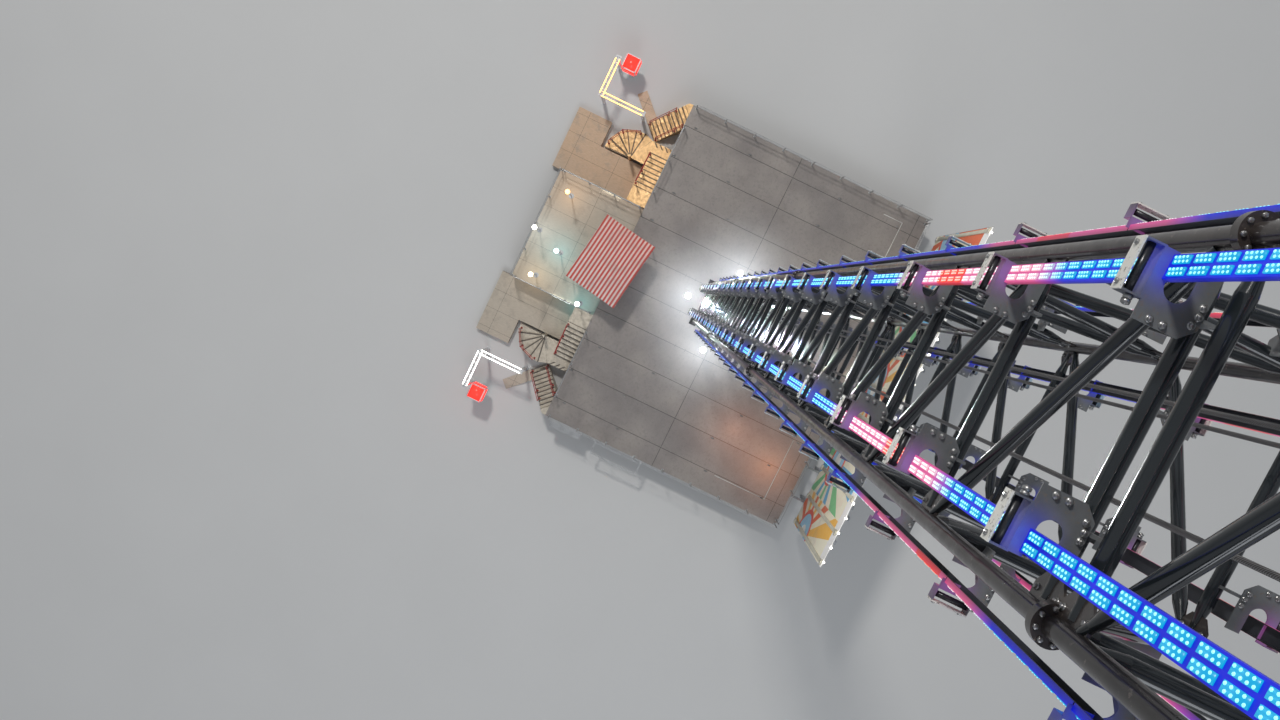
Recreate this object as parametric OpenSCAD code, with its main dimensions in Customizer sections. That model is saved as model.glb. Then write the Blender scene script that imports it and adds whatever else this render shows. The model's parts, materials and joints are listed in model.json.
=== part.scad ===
// Drop tower ride, a scale model at 1:2. Millimetres of the model, +Z up, ground at z = 0.
// The mast axis is the Z axis, and the entrance side of the deck faces -Y.

/* [Mast] */
// Height of one bay of the mast
bay_h = 1150; // [1000:10:1300]
// Bays in each long mast section
section_bays = 7; // [5:1:8]
// Bays in the short section at the top
top_bays = 4; // [3:1:6]
// Number of long mast sections
long_sections = 3; // [2:1:3]
// Distance between the end tubes of two sections where they are joined
joint_gap = 180; // [160:5:240]
// Distance between the axes of neighbouring chord tubes
mast_w = 1180; // [1080:10:1300]
// Diameter of a chord tube
chord_d = 70; // [60:1:84]
// Diameter of a brace tube
brace_d = 60; // [44:1:66]
// Diameter of the turned-down end of a brace
brace_end_d = 34; // [26:1:40]
// Thickness of the gusset plates on the chords
gusset_t = 10; // [6:1:14]
// Diameter of the bolted flange at a section joint
flange_d = 130; // [110:2:150]
// Thickness of one flange
flange_t = 18; // [12:1:24]

/* [Light panels and brackets] */
// Distance from the chord axes out to the face of the light panels
light_out = 185; // [165:1:230]
// Distance from the middle of a side to the middle of a light panel
light_x = 408; // [380:1:425]
// Width of a light panel
light_w = 70; // [50:1:80]
// Depth of a light panel's housing
light_d = 24; // [16:1:30]
// Height of a bracket's plate above the axis of the tube that carries it
bracket_rise = 109; // [90:1:120]
// Thickness of a bracket's plate
bracket_t = 6; // [4:1:10]
// Radius of the round cut-out in a bracket's plate
bracket_hole_r = 38; // [28:1:44]
// Height of the box guard in front of a light panel
guard_h = 52; // [36:1:70]
// Length of the box guard
guard_l = 155; // [130:1:175]
// Depth of the box guard
guard_d = 65; // [45:1:75]

/* [Deck] */
// Height of the deck above the ground
deck_h = 900; // [860:10:960]
// Length of the deck from left to right
deck_x = 9700; // [9300:50:10400]
// Depth of the deck from front to rear
deck_y = 7350; // [7000:50:8000]
// Distance that the deck's middle lies behind the mast
deck_shift = 435; // [350:5:500]
// Thickness of the deck panels
deck_t = 20; // [12:1:30]
// Side of the square panel round the mast foot
centre_w = 2000; // [1900:10:2150]
// Height of the floor joists
joist_h = 90; // [70:5:110]
// Width of a floor joist
joist_w = 50; // [40:1:70]

/* [Front] */
// Length of the entrance platform
platform_x = 3360; // [3200:20:3440]
// Depth of the entrance platform
platform_y = 2600; // [2400:20:2800]
// Height of the step from the platform up to the deck
platform_drop = 100; // [80:5:140]
// Height of the landings at the foot of the stairs
landing_h = 200; // [160:5:220]
// Length of a landing
landing_x = 1850; // [1750:10:1950]
// Depth of the front part of a landing
landing_y = 1030; // [950:10:1100]
// Distance that the landings stand out in front of the platform
landing_out = 360; // [250:10:450]
// Radius of the winding steps
winder_r = 800; // [740:10:830]
// Number of winding steps
winders = 6; // [5:1:7]
// Number of steps in the flight along the deck
flight_steps = 8; // [6:1:8]
// Depth of a tread in that flight
flight_tread = 132; // [120:2:138]
// Width of the flights
flight_w = 560; // [500:10:580]
// Number of steps in the slanted flight at the deck's corner
corner_steps = 10; // [8:1:10]
// Height of the railings
rail_h = 540; // [480:10:600]
// Diameter of the railing tubes
rail_d = 24; // [18:1:32]
// Height of the light gates' beams
gate_h = 1300; // [1200:10:1400]

/* [Booth] */
// Length of the booth
booth_x = 1600; // [1400:10:1800]
// Depth of the booth
booth_y = 820; // [700:10:900]
// Height of the booth's walls
booth_h = 1120; // [1050:10:1250]
// Thickness of the booth's walls
booth_t = 30; // [20:1:45]
// Length of the awning
awning_x = 2020; // [1900:10:2200]
// Depth of the awning
awning_y = 1580; // [1450:10:1700]
// Angle that booth and awning are turned by, seen from above
booth_turn = -8.8; // [-12:0.1:0]

/* [Backdrop] */
// Length of the backdrop wall
back_x = 9100; // [8800:50:9600]
// Height of the top of the backdrop above the ground
back_top = 5300; // [4800:50:5700]
// Gap between the deck's rear edge and the backdrop
back_gap = 450; // [350:10:600]

/* [Carriage] */
// Height of the underside of the carriage ring above the ground
carriage_z = 28650; // [28500:10:28800]
// Clear half width inside the carriage ring
carriage_in = 905; // [895:1:930]
// Width of one seat
seat_w = 250; // [230:1:262]
// Seats on each side of the ring
seats = 6; // [4:1:6]

/* [Hidden] */
$fn = 48;

fit = 0.3;
beam_h = 380;
beam_w = 180;
beam_web = 14;
beam_flange = 18;
stub_w = 200;
foot_t = 20;
beam_top = deck_h - deck_t - joist_h;
beam_z = beam_top - beam_h;
mast_z = deck_h + foot_t;
half = mast_w / 2;
light_face = half + light_out;
long_h = section_bays * bay_h;
section_step = long_h + joint_gap;
top_stub = 220;
mast_top = section_z(long_sections) + top_bays * bay_h + top_stub;
deck_y0 = deck_shift - deck_y / 2;
deck_y1 = deck_shift + deck_y / 2;
light_gap = fit;
outrigger_reach_x = 4500;
outrigger_reach_y = 3050;
jack_d = 110;
jack_pad_d = 420;
jack_pad_t = 30;

function section_z(s) = mast_z + joint_gap / 2 + s * section_step;
function bays_in(s) = s < long_sections ? section_bays : top_bays;
LEVELS = [for (s = [0 : long_sections]) for (k = [0 : bays_in(s)]) section_z(s) + k * bay_h];
BAYS = [for (s = [0 : long_sections]) for (k = [0 : bays_in(s) - 1]) section_z(s) + k * bay_h];
// The first tube of an upper section has no bracket, because the one below it is close
BRACKETS = [for (s = [0 : long_sections]) for (k = [(s == 0 ? 0 : 1) : bays_in(s)])
    section_z(s) + k * bay_h + bracket_rise];

// Mast

gusset_reach = 128;
gusset_h = 190;
brace_gap = 12;
brace_from = chord_d / 2 + brace_gap;
taper_from = 92;
taper_to = 178;
diagonal_shift = 30;

module gusset(z) {
    // A plate with its inner corners cut off, welded into the tube wall
    cut = 50;
    translate([0, gusset_t / 2, z])
        rotate([90, 0, 0])
            linear_extrude(gusset_t)
                polygon([
                    [0, -gusset_h / 2], [gusset_reach - cut, -gusset_h / 2],
                    [gusset_reach, -gusset_h / 2 + cut], [gusset_reach, gusset_h / 2 - cut],
                    [gusset_reach - cut, gusset_h / 2], [0, gusset_h / 2]
                ]);
}

module flange(z) {
    translate([0, 0, z])
        cylinder(d = flange_d, h = flange_t);
}

// The chord at the origin; its two lattice sides run along +X and +Y
module chord() {
    color("dimgray") {
        union() {
            translate([0, 0, mast_z])
                cylinder(d = chord_d, h = mast_top - mast_z);
            translate([-stub_w / 2, -stub_w / 2, mast_z])
                cube([stub_w, stub_w, foot_t]);
            for (s = [1 : long_sections]) {
                flange(section_z(s) - joint_gap / 2 - flange_t);
                flange(section_z(s) - joint_gap / 2);
            }
            translate([0, 0, mast_top - flange_t])
                cylinder(d = flange_d, h = flange_t);
            for (z = LEVELS) {
                gusset(z);
                mirror([1, -1, 0])
                    gusset(z);
            }
        }
    }
}

// A brace along +X from the axis of one chord to the axis of the next
module brace(length) {
    rotate([0, 90, 0]) {
        translate([0, 0, taper_to])
            cylinder(d = brace_d, h = length - 2 * taper_to);
        for (e = [0, 1])
            translate([0, 0, e * length])
                mirror([0, 0, e]) {
                    translate([0, 0, brace_from])
                        cylinder(d = brace_end_d, h = taper_from - brace_from);
                    translate([0, 0, taper_from])
                        cylinder(d1 = brace_end_d, d2 = brace_d, h = taper_to - taper_from);
                }
    }
}

module gusset_slot(z) {
    // The same plate, a little larger all round
    for (side = [-1, 1])
        translate([side * half, 0, z])
            translate([side < 0 ? 0 : -gusset_reach - 1, -gusset_t / 2 - fit, -gusset_h / 2 - 1])
                cube([gusset_reach + 1, gusset_t + 2 * fit, gusset_h + 2]);
}

module horizontal(z) {
    difference() {
        translate([-half, 0, z])
            brace(mast_w);
        gusset_slot(z);
    }
}

// Every diagonal runs from the right chord up to the left chord
module diagonal(z) {
    rise = bay_h - 2 * diagonal_shift;
    difference() {
        translate([half, 0, z + diagonal_shift])
            rotate([0, 180 + atan2(rise, mast_w), 0])
                brace(norm([mast_w, rise]));
        gusset_slot(z);
        gusset_slot(z + bay_h);
    }
}

module lattice() {
    color("slategray")
        translate([0, -half, 0]) {
            for (z = LEVELS)
                horizontal(z);
            for (z = BAYS)
                diagonal(z);
        }
}

// Brackets: a plate at every bay that stands out from the lattice tube and holds the panels,
// a web under it and a box guard in front of it

plate_out = 25;
plate_in = 150;
plate_outer = 47;
plate_inner = 160;
plate_corner = 40;
web_t = 12;
guard_t = 6;
guard_outer = 50;
hole_in = 52;
hole_side = 42;

// Plan coordinates of a bracket: +X to the middle of the side, +Y into the mast,
// the origin in the middle of the panel's face
module bracket_plate() {
    linear_extrude(bracket_t)
        difference() {
            polygon([
                [-plate_outer, -plate_out], [plate_inner, -plate_out],
                [plate_inner, plate_in - plate_corner], [plate_inner - plate_corner, plate_in],
                [-plate_outer, plate_in]
            ]);
            // The round cut-out runs out to the plate's outer edge behind the panel
            translate([hole_side, hole_in])
                circle(r = bracket_hole_r);
            translate([-plate_outer - 1, hole_in - bracket_hole_r])
                square([plate_outer + 1 + hole_side, 2 * bracket_hole_r]);
        }
}

module bracket_web(x) {
    // Sits on the lattice tube with a saddle cut
    drop = bracket_rise - bracket_t / 2;
    seat_r = brace_d / 2 + fit;
    translate([x, 0, 0])
        difference() {
            rotate([90, 0, 90])
                linear_extrude(web_t)
                    polygon([
                        [plate_in - 110, 0], [light_out + 8, 0],
                        [light_out + 8, -drop + 8], [light_out - seat_r - 12, -drop - 14],
                        [light_out - seat_r - 26, -drop - 14]
                    ]);
            translate([-1, light_out, -drop])
                rotate([0, 90, 0])
                    cylinder(r = seat_r, h = web_t + 2);
        }
}

module guard() {
    translate([-guard_outer, -plate_out - guard_d, bracket_t - guard_h])
        difference() {
            cube([guard_l, guard_d, guard_h]);
            translate([guard_t, guard_t, -1])
                cube([guard_l - 2 * guard_t, guard_d - 2 * guard_t, guard_h + 2]);
        }
}

module bracket() {
    translate([0, 0, -bracket_t / 2]) {
        union() {
            bracket_plate();
            guard();
            bracket_web((plate_inner - plate_corner) / 2 + hole_side / 2);
        }
    }
}

module brackets() {
    color("lightsteelblue")
        for (z = BRACKETS)
            for (m = [0, 1])
                mirror([m, 0, 0])
                    translate([-light_x, -light_face, z])
                        bracket();
}

// Light panels: one channel housing from each bracket plate up to the next

module light_panel(z0, z1) {
    lip = 5;
    translate([0, 0, z0 + bracket_t / 2 + light_gap])
        linear_extrude(z1 - z0 - bracket_t - 2 * light_gap)
            difference() {
                translate([-light_w / 2, 0])
                    square([light_w, light_d]);
                translate([-light_w / 2 + lip, lip])
                    square([light_w - 2 * lip, light_d]);
            }
}

module light_panels() {
    color("royalblue")
        for (i = [1 : len(BRACKETS) - 1])
            for (m = [-1, 1])
                translate([m * light_x, -light_face, 0])
                    light_panel(BRACKETS[i - 1], BRACKETS[i]);
}

// Head

head_beam = 120;
head_w = mast_w + flange_d;
sheave_t = 60;
sheave_x = 200;

sheave_r = 412;
sheave_in = 130;
sheave_y = sheave_in + sheave_r;
sheave_rim = 16;
rope_d = 18;
pin_d = 60;
bearer_t = 20;
bearer_gap = 20;
bearer_at = sheave_t / 2 + bearer_gap;
bearer_h = 560;
bearer_l = 2 * (sheave_y + 260);
sheave_z = mast_top + head_beam + bearer_h - 90;

module at_sheaves() {
    for (x = [-1, 1])
        for (y = [-1, 1])
            translate([x * sheave_x, y * sheave_y, sheave_z])
                rotate([0, 90, 0])
                    children();
}

// A plate on edge that carries the pins of two sheaves, with its corners cut off
module bearer() {
    half_l = bearer_l / 2;
    foot = head_w / 2;
    translate([-bearer_t / 2, 0, 0])
        rotate([90, 0, 90])
            linear_extrude(bearer_t)
                polygon([
                    [-foot, 0], [foot, 0], [half_l, bearer_h - 240], [half_l, bearer_h - 60],
                    [half_l - 60, bearer_h], [60 - half_l, bearer_h],
                    [-half_l, bearer_h - 60], [-half_l, bearer_h - 240]
                ]);
}

module head_frame() {
    color("gray")
        difference() {
            translate([0, 0, mast_top])
                union() {
                    difference() {
                        translate([-head_w / 2, -head_w / 2, 0])
                            cube([head_w, head_w, head_beam]);
                        translate([-head_w / 2 + head_beam, -head_w / 2 + head_beam, -1])
                            cube([head_w - 2 * head_beam, head_w - 2 * head_beam, head_beam + 2]);
                    }
                    for (x = [-1, 1])
                        for (side = [-1, 1])
                            translate([x * sheave_x + side * (bearer_at + bearer_t / 2), 0, head_beam])
                                bearer();
                    // Cross tubes between the two pairs of bearers
                    for (y = [-1, 0, 1])
                        translate([0, y * (bearer_l / 2 - 60), head_beam + bearer_h - 60])
                            rotate([0, 90, 0])
                                cylinder(d = 60, h = 2 * (sheave_x - bearer_at), center = true);
                }
            at_sheaves()
                cylinder(d = pin_d + 2 * fit, h = 2 * (bearer_at + bearer_t) + 10, center = true);
        }
}

// A spoked rope wheel with a round groove
module sheave() {
    groove_r = rope_d / 2 + fit;
    rim_in = sheave_r - 60;
    hub_r = 75;
    hole_r = 88;
    union() {
        difference() {
            cylinder(r = sheave_r + sheave_rim, h = sheave_t, center = true);
            rotate_extrude()
                translate([sheave_r, 0])
                    circle(r = groove_r);
            rotate_extrude()
                translate([sheave_r, -groove_r])
                    square([sheave_rim + 1, 2 * groove_r]);
            for (side = [-1, 1])
                translate([0, 0, side * sheave_t / 2])
                    difference() {
                        cylinder(r = rim_in, h = sheave_t - 20, center = true);
                        cylinder(r = hub_r, h = sheave_t, center = true);
                    }
            for (i = [0 : 5])
                rotate([0, 0, 60 * i])
                    translate([(rim_in + hub_r) / 2, 0, 0])
                        cylinder(r = hole_r, h = sheave_t, center = true);
        }
        cylinder(d = pin_d, h = 2 * (bearer_at + bearer_t) + 20, center = true);
    }
}

module head_sheaves() {
    color("darkgray")
        at_sheaves()
            sheave();
}

// Ropes: from the carriage up, over the head and down inside the mast to the drum

drum_z = beam_z + beam_h / 2;
socket_d = 44;

module rope() {
    union() {
        translate([0, sheave_r, carriage_z + ring_gap + ring_h])
            cylinder(d = rope_d, h = sheave_z - carriage_z - ring_gap - ring_h);
        translate([0, sheave_r, carriage_z + ring_gap + ring_h])
            cylinder(d = socket_d, h = 110);
        translate([0, -sheave_r, drum_z])
            cylinder(d = rope_d, h = sheave_z - drum_z);
        translate([0, 0, sheave_z])
            difference() {
                rotate([0, 90, 0])
                    rotate_extrude()
                        translate([sheave_r, 0])
                            circle(d = rope_d);
                translate([-rope_d, -2 * sheave_r, -2 * sheave_r])
                    cube([2 * rope_d, 4 * sheave_r, 2 * sheave_r]);
            }
    }
}

module hoist_ropes() {
    color("black")
        for (x = [-1, 1])
            for (side = [0, 1])
                mirror([0, side, 0])
                    translate([x * sheave_x, sheave_y, 0])
                        rope();
}

module hoist_drum() {
    drum_r = sheave_in - rope_d / 2 - fit;
    color("darkgray")
        translate([0, 0, drum_z])
            rotate([0, 90, 0])
                union() {
                    cylinder(r = drum_r, h = 2 * sheave_x + 160, center = true);
                    for (side = [-1, 0, 1])
                        translate([0, 0, side * (sheave_x + 90)])
                            cylinder(r = drum_r + 60, h = 20, center = true);
                    cylinder(d = drum_pin, h = 2 * (half - beam_web / 2 - fit), center = true);
                }
}

// Carriage

ring_w = 100;
ring_h = 100;
ring_gap = 900;
ring_outer = carriage_in + ring_w;
roller_d = 110;
roller_t = 40;
axle_d = 18;
fork_t = 8;
fork_gap = roller_t + 2;
roller_at = chord_d / 2 + roller_d / 2 + fit;
arm_from = roller_at + roller_d / 2 + 12;
arm_h = 60;
// Distance along the diagonal from a chord's axis to the inner corner of the ring
ring_corner = (carriage_in - half) * sqrt(2);

module ring(z) {
    translate([0, 0, z])
        difference() {
            translate([-ring_outer, -ring_outer, 0])
                cube([2 * ring_outer, 2 * ring_outer, ring_h]);
            translate([-carriage_in, -carriage_in, -1])
                cube([2 * carriage_in, 2 * carriage_in, ring_h + 2]);
        }
}

// A fork on an arm that runs along +X from the chord's axis out to the ring's corner
module roller_arm() {
    translate([arm_from, -fork_gap / 2 - fork_t, -arm_h / 2])
        cube([ring_corner + 30 - arm_from, fork_gap + 2 * fork_t, arm_h]);
    for (side = [-1, 1])
        difference() {
            translate([roller_at - 30, side * (fork_gap + fork_t) / 2 - fork_t / 2, -arm_h / 2])
                cube([arm_from - roller_at + 30, fork_t, arm_h]);
            translate([roller_at, 0, 0])
                rotate([90, 0, 0])
                    cylinder(d = axle_d + 2 * fit, h = 2 * fork_gap, center = true);
        }
}

module roller() {
    translate([roller_at, 0, 0])
        rotate([90, 0, 0])
            union() {
                cylinder(d = roller_d, h = roller_t, center = true);
                cylinder(d = axle_d, h = fork_gap + 2 * fork_t + 8, center = true);
            }
}

// At each corner, one on the lower ring and one on the upper ring
module at_rollers() {
    for (i = [0 : 3])
        for (z = [ring_h / 2, ring_gap + ring_h / 2])
            rotate([0, 0, 90 * i])
                translate([half, half, carriage_z + z])
                    rotate([0, 0, 45])
                        children();
}

module carriage_frame() {
    post = 80;
    color("firebrick")
        union() {
            ring(carriage_z);
            ring(carriage_z + ring_gap);
            for (i = [0 : 3])
                rotate([0, 0, 90 * i]) {
                    translate([-ring_outer, -ring_outer, carriage_z])
                        cube([ring_w, ring_w, ring_gap + ring_h]);
                    for (x = [-1, 0, 1])
                        translate([x * carriage_in / 2 - post / 2, -ring_outer + 10, carriage_z])
                            cube([post, post, ring_gap + ring_h]);
                    at_seats()
                        hinge_lugs();
                }
            at_rollers()
                roller_arm();
        }
}

// Two lugs on the upper ring that carry the pivot of one restraint
pivot_out = 42;
pivot_d = 16;
pivot_z = ring_gap + ring_h / 2;
lug_t = 8;
lug_x = 88;

module hinge_lugs() {
    lug_h = 56;
    for (side = [-1, 1])
        translate([side * lug_x - lug_t / 2, -ring_outer, carriage_z + pivot_z])
            rotate([90, 0, 90])
                linear_extrude(lug_t)
                    difference() {
                        union() {
                            translate([-pivot_out, -lug_h / 2])
                                square([pivot_out + 1, lug_h]);
                            translate([-pivot_out, 0])
                                circle(d = lug_h);
                        }
                        translate([-pivot_out, 0])
                            circle(d = pivot_d + 2 * fit);
                    }
}

module guide_rollers() {
    color("black")
        at_rollers()
            roller();
}

// Seats face outwards, with their backs on the ring

seat_gap = 12;
shell_t = 22;
pan_l = 290;
pan_top = 108;
back_h = 820;

// Side outlines: +X outwards from the ring's face, +Y up from the ring's underside
module seat_pan() {
    union() {
        polygon([
            [fit, 60], [pan_l - 40, 40], [pan_l - 10, 55], [pan_l - 10, 95],
            [pan_l - 35, pan_top + 12], [90, pan_top], [fit, pan_top]
        ]);
        translate([pan_l - 40, 75])
            circle(r = 40);
    }
}

module seat_back() {
    polygon([
        [fit, pan_top + fit], [78, pan_top + fit], [70, pan_top + 32], [48, back_h], [fit, back_h]
    ]);
}

module seat_side() {
    polygon([
        [fit, 50], [pan_l - 60, 30], [pan_l - 10, 60], [pan_l - 20, 130],
        [pan_l - 60, 160], [130, 165], [110, 220], [95, 560], [120, 640],
        [115, back_h - 60], [80, back_h], [fit, back_h]
    ]);
}

// A pan and a back between two side wings
module seat() {
    inner_w = seat_w - 2 * shell_t - 2 * fit;
    translate([0, -ring_outer, carriage_z])
        rotate([90, 0, -90]) {
            translate([0, 0, -inner_w / 2])
                linear_extrude(inner_w)
                    seat_pan();
            translate([0, 0, -inner_w / 2])
                linear_extrude(inner_w)
                    seat_back();
            for (z = [-seat_w / 2, seat_w / 2 - shell_t])
                translate([0, 0, z])
                    linear_extrude(shell_t)
                        seat_side();
        }
}

module at_seats() {
    for (i = [0 : seats - 1])
        translate([(i - (seats - 1) / 2) * (seat_w + seat_gap), 0, 0])
            children();
}

module seat_row() {
    color("goldenrod")
        at_seats()
            seat();
}

// A round bar between two points
module bar(from, to, d) {
    run = to - from;
    translate(from)
        rotate([0, acos(run[2] / norm(run)), atan2(run[1], run[0])])
            cylinder(d = d, h = norm(run));
}

// A shoulder restraint: two padded bows from the pivot over the shoulders down to the lap
pad_w = 50;
pad_x = 62;
pad_t = 44;
bow_r = 170;
lap_drop = 470;

// Side outlines: +X outwards from the ring's face, +Y up from the ring's underside
module bow_side() {
    translate([pivot_out, pivot_z - bow_r])
        union() {
            difference() {
                circle(r = bow_r + pad_w / 2);
                circle(r = bow_r - pad_w / 2);
                translate([-2 * bow_r, -2 * bow_r])
                    square([2 * bow_r, 4 * bow_r]);
                translate([-1, -2 * bow_r])
                    square([2 * bow_r, 2 * bow_r]);
            }
            translate([0, bow_r])
                circle(r = pad_w / 2);
        }
}

module pad_side() {
    translate([pivot_out + bow_r, pivot_z - bow_r])
        union() {
            translate([-pad_w / 2, -lap_drop])
                square([pad_w, lap_drop - fit]);
            translate([0, -lap_drop])
                circle(r = pad_w / 2);
        }
}

module both_shoulders() {
    for (side = [-1, 1])
        translate([side * pad_x + pad_t / 2, 0, 0])
            rotate([90, 0, -90])
                linear_extrude(pad_t)
                    children();
}

// The bows on their pivot, then the pads that hang from them with the lap bar
module restraint() {
    translate([0, -ring_outer, carriage_z]) {
        union() {
            both_shoulders()
                bow_side();
            translate([0, -pivot_out, pivot_z])
                rotate([0, 90, 0])
                    cylinder(d = pivot_d, h = 2 * lug_x + lug_t + 8, center = true);
        }
        union() {
            both_shoulders()
                pad_side();
            translate([0, -pivot_out - bow_r, pivot_z - bow_r - lap_drop])
                rotate([0, 90, 0])
                    cylinder(d = pad_w - 14, h = 2 * pad_x, center = true);
        }
    }
}

module restraints() {
    color("dimgray")
        for (i = [0 : 3])
            rotate([0, 0, 90 * i])
                at_seats()
                    restraint();
}

// Base

module beam(length) {
    // An I-beam along +X with its middle on the axis and its underside at z = 0
    rotate([90, 0, 90])
        linear_extrude(length)
            polygon([
                [-beam_w / 2, 0], [beam_w / 2, 0], [beam_w / 2, beam_flange],
                [beam_web / 2, beam_flange], [beam_web / 2, beam_h - beam_flange],
                [beam_w / 2, beam_h - beam_flange], [beam_w / 2, beam_h],
                [-beam_w / 2, beam_h], [-beam_w / 2, beam_h - beam_flange],
                [-beam_web / 2, beam_h - beam_flange], [-beam_web / 2, beam_flange],
                [-beam_w / 2, beam_flange]
            ]);
}

frame_half = 1100;
drum_pin = 60;

module base_frame() {
    block = 150;
    color("dimgray")
        union() {
            for (side = [-1, 1]) {
                translate([-frame_half, side * half, beam_z])
                    beam(2 * frame_half);
                rotate([0, 0, 90])
                    translate([-frame_half, side * half, beam_z])
                        beam(2 * frame_half);
            }
            for (x = [-1, 1])
                for (y = [-1, 1])
                    translate([x * half - stub_w / 2, y * half - stub_w / 2, beam_z])
                        cube([stub_w, stub_w, mast_z - beam_z]);
            // Bearing blocks of the hoist drum on the webs
            for (side = [0, 1])
                mirror([side, 0, 0])
                    translate([half - beam_web / 2 - 70, -block / 2, drum_z - block / 2])
                        difference() {
                            cube([72, block, block]);
                            translate([-1, block / 2, block / 2])
                                rotate([0, 90, 0])
                                    cylinder(d = drum_pin + 2 * fit, h = 71);
                        }
        }
}

// Two arms and a cross beam, pointing along +X, bolted to the base frame
module outrigger(reach) {
    for (side = [-1, 1])
        translate([frame_half, side * half, beam_z])
            beam(reach + 120 - frame_half);
    translate([reach - 400, beam_w / 2 + fit - half, beam_z])
        rotate([0, 0, 90])
            beam(mast_w - beam_w - 2 * fit);
}

module outrigger_jacks(reach) {
    nut_h = 60;
    for (side = [-1, 1])
        translate([reach, side * half, 0])
            union() {
                cylinder(d = jack_pad_d, h = jack_pad_t);
                cylinder(d1 = jack_pad_d - 120, d2 = jack_d, h = jack_pad_t + 60);
                cylinder(d = jack_d - 30, h = beam_z - fit);
                translate([0, 0, beam_z - fit - nut_h])
                    cylinder(d = jack_d + 20, h = nut_h);
            }
}

module at_outriggers() {
    for (i = [0 : 3])
        rotate([0, 0, 90 * i])
            if (i % 2 == 0) {
                $reach = outrigger_reach_x;
                children();
            } else {
                $reach = outrigger_reach_y;
                children();
            }
}

module outriggers() {
    color("dimgray")
        at_outriggers()
            outrigger($reach);
}

module jacks() {
    color("silver")
        at_outriggers()
            outrigger_jacks($reach);
}

// Floor: joists from front to rear, each on screw legs

leg_w = 50;
leg_pad = 160;
leg_pad_t = 12;
first_joist = centre_w / 2 + joist_w / 2;
last_joist = deck_x / 2 - joist_w / 2;
joist_steps = 4;
SIDE_JOISTS = [for (i = [0 : joist_steps]) first_joist + i * (last_joist - first_joist) / joist_steps];
JOISTS = concat([0], SIDE_JOISTS, [for (x = SIDE_JOISTS) -x]);
LEG_Y = [deck_y0 + 150, -1500, 1500, deck_y1 - 150];

module floor_joists() {
    color("gray")
        for (x = JOISTS)
            translate([x - joist_w / 2, deck_y0, beam_top])
                cube([joist_w, deck_y, joist_h]);
}

module floor_leg() {
    head_w = 110;
    head_t = 10;
    union() {
        translate([-leg_pad / 2, -leg_pad / 2, 0])
            cube([leg_pad, leg_pad, leg_pad_t]);
        cylinder(d = 34, h = beam_top - fit - head_t);
        translate([-leg_w / 2, -leg_w / 2, 180])
            cube([leg_w, leg_w, beam_top - fit - 180]);
        translate([-head_w / 2, -head_w / 2, beam_top - fit - head_t])
            cube([head_w, head_w, head_t]);
    }
}

module floor_legs() {
    color("gray")
        for (x = JOISTS)
            for (y = LEG_Y)
                translate([x, y, 0])
                    floor_leg();
}

// Deck panels

deck_z = deck_h - deck_t;
stub_fit = 6;
rope_slot = 60;

module deck_centre() {
    color("rosybrown")
        difference() {
            translate([-centre_w / 2, -centre_w / 2, deck_z])
                cube([centre_w, centre_w, deck_t]);
            for (x = [-1, 1])
                for (y = [-1, 1])
                    translate([
                        x * half - stub_w / 2 - stub_fit, y * half - stub_w / 2 - stub_fit, deck_z - 1
                    ])
                        cube([stub_w + 2 * stub_fit, stub_w + 2 * stub_fit, deck_t + 2]);
            // One slot on each side for the hoist ropes
            for (x = [-1, 1])
                translate([x * sheave_x - rope_slot / 2, -sheave_in - rope_slot / 2, deck_z - 1])
                    cube([rope_slot, 2 * sheave_in + rope_slot, deck_t + 2]);
        }
}

module deck_side() {
    color("rosybrown")
        translate([centre_w / 2, deck_y0, deck_z])
            cube([(deck_x - centre_w) / 2, deck_y, deck_t]);
}

module deck_front() {
    color("rosybrown")
        translate([-centre_w / 2, deck_y0, deck_z])
            cube([centre_w, -centre_w / 2 - deck_y0, deck_t]);
}

module deck_rear() {
    color("rosybrown")
        translate([-centre_w / 2, centre_w / 2, deck_z])
            cube([centre_w, deck_y1 - centre_w / 2, deck_t]);
}

// Front: platform, landings and stairs. The right side is drawn; the left one is its mirror image

skirt_t = 16;
tread_t = 20;
riser_t = 8;
platform_h = deck_h - platform_drop;
platform_y0 = deck_y0 - platform_y;
side_x0 = platform_x / 2 + fit;
landing_y0 = platform_y0 - landing_out;
landing_y1 = landing_y0 + landing_y;
newel_d = 90;
newel_in = 1140;
newel_front = 1020;
newel = [side_x0 + newel_in, deck_y0 - newel_front];
winder_from = -90;
winder_to = 30;
step_rise = (deck_h - landing_h) / (winders + flight_steps);
corner_z = landing_h + winders * step_rise;
winder_over = 8;
corner_x = newel[0] + (winder_r + winder_over) * cos(winder_to);
flight_y0 = deck_y0 - flight_w;
flight_gap = 380;
flight_x0 = newel[0] + flight_gap;
flight_x1 = flight_x0 - flight_steps * flight_tread;

// A floor plate on a closed skirt, open underneath
module skirted(x0, x1, y0, y1, top) {
    difference() {
        translate([x0, y0, 0])
            cube([x1 - x0, y1 - y0, top]);
        translate([x0 + skirt_t, y0 + skirt_t, -1])
            cube([x1 - x0 - 2 * skirt_t, y1 - y0 - 2 * skirt_t, top - tread_t + 1]);
    }
}

module front_platform() {
    color("tan")
        skirted(-platform_x / 2, platform_x / 2, platform_y0, deck_y0, platform_h);
}

module landing() {
    union() {
        skirted(side_x0, side_x0 + landing_x, landing_y0, landing_y1, landing_h);
        skirted(side_x0, newel[0] - newel_d / 2 - fit, landing_y1 - skirt_t, flight_y0 - fit, landing_h);
    }
}

module landings() {
    color("burlywood")
        for (side = [0, 1])
            mirror([side, 0, 0])
                landing();
}

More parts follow.
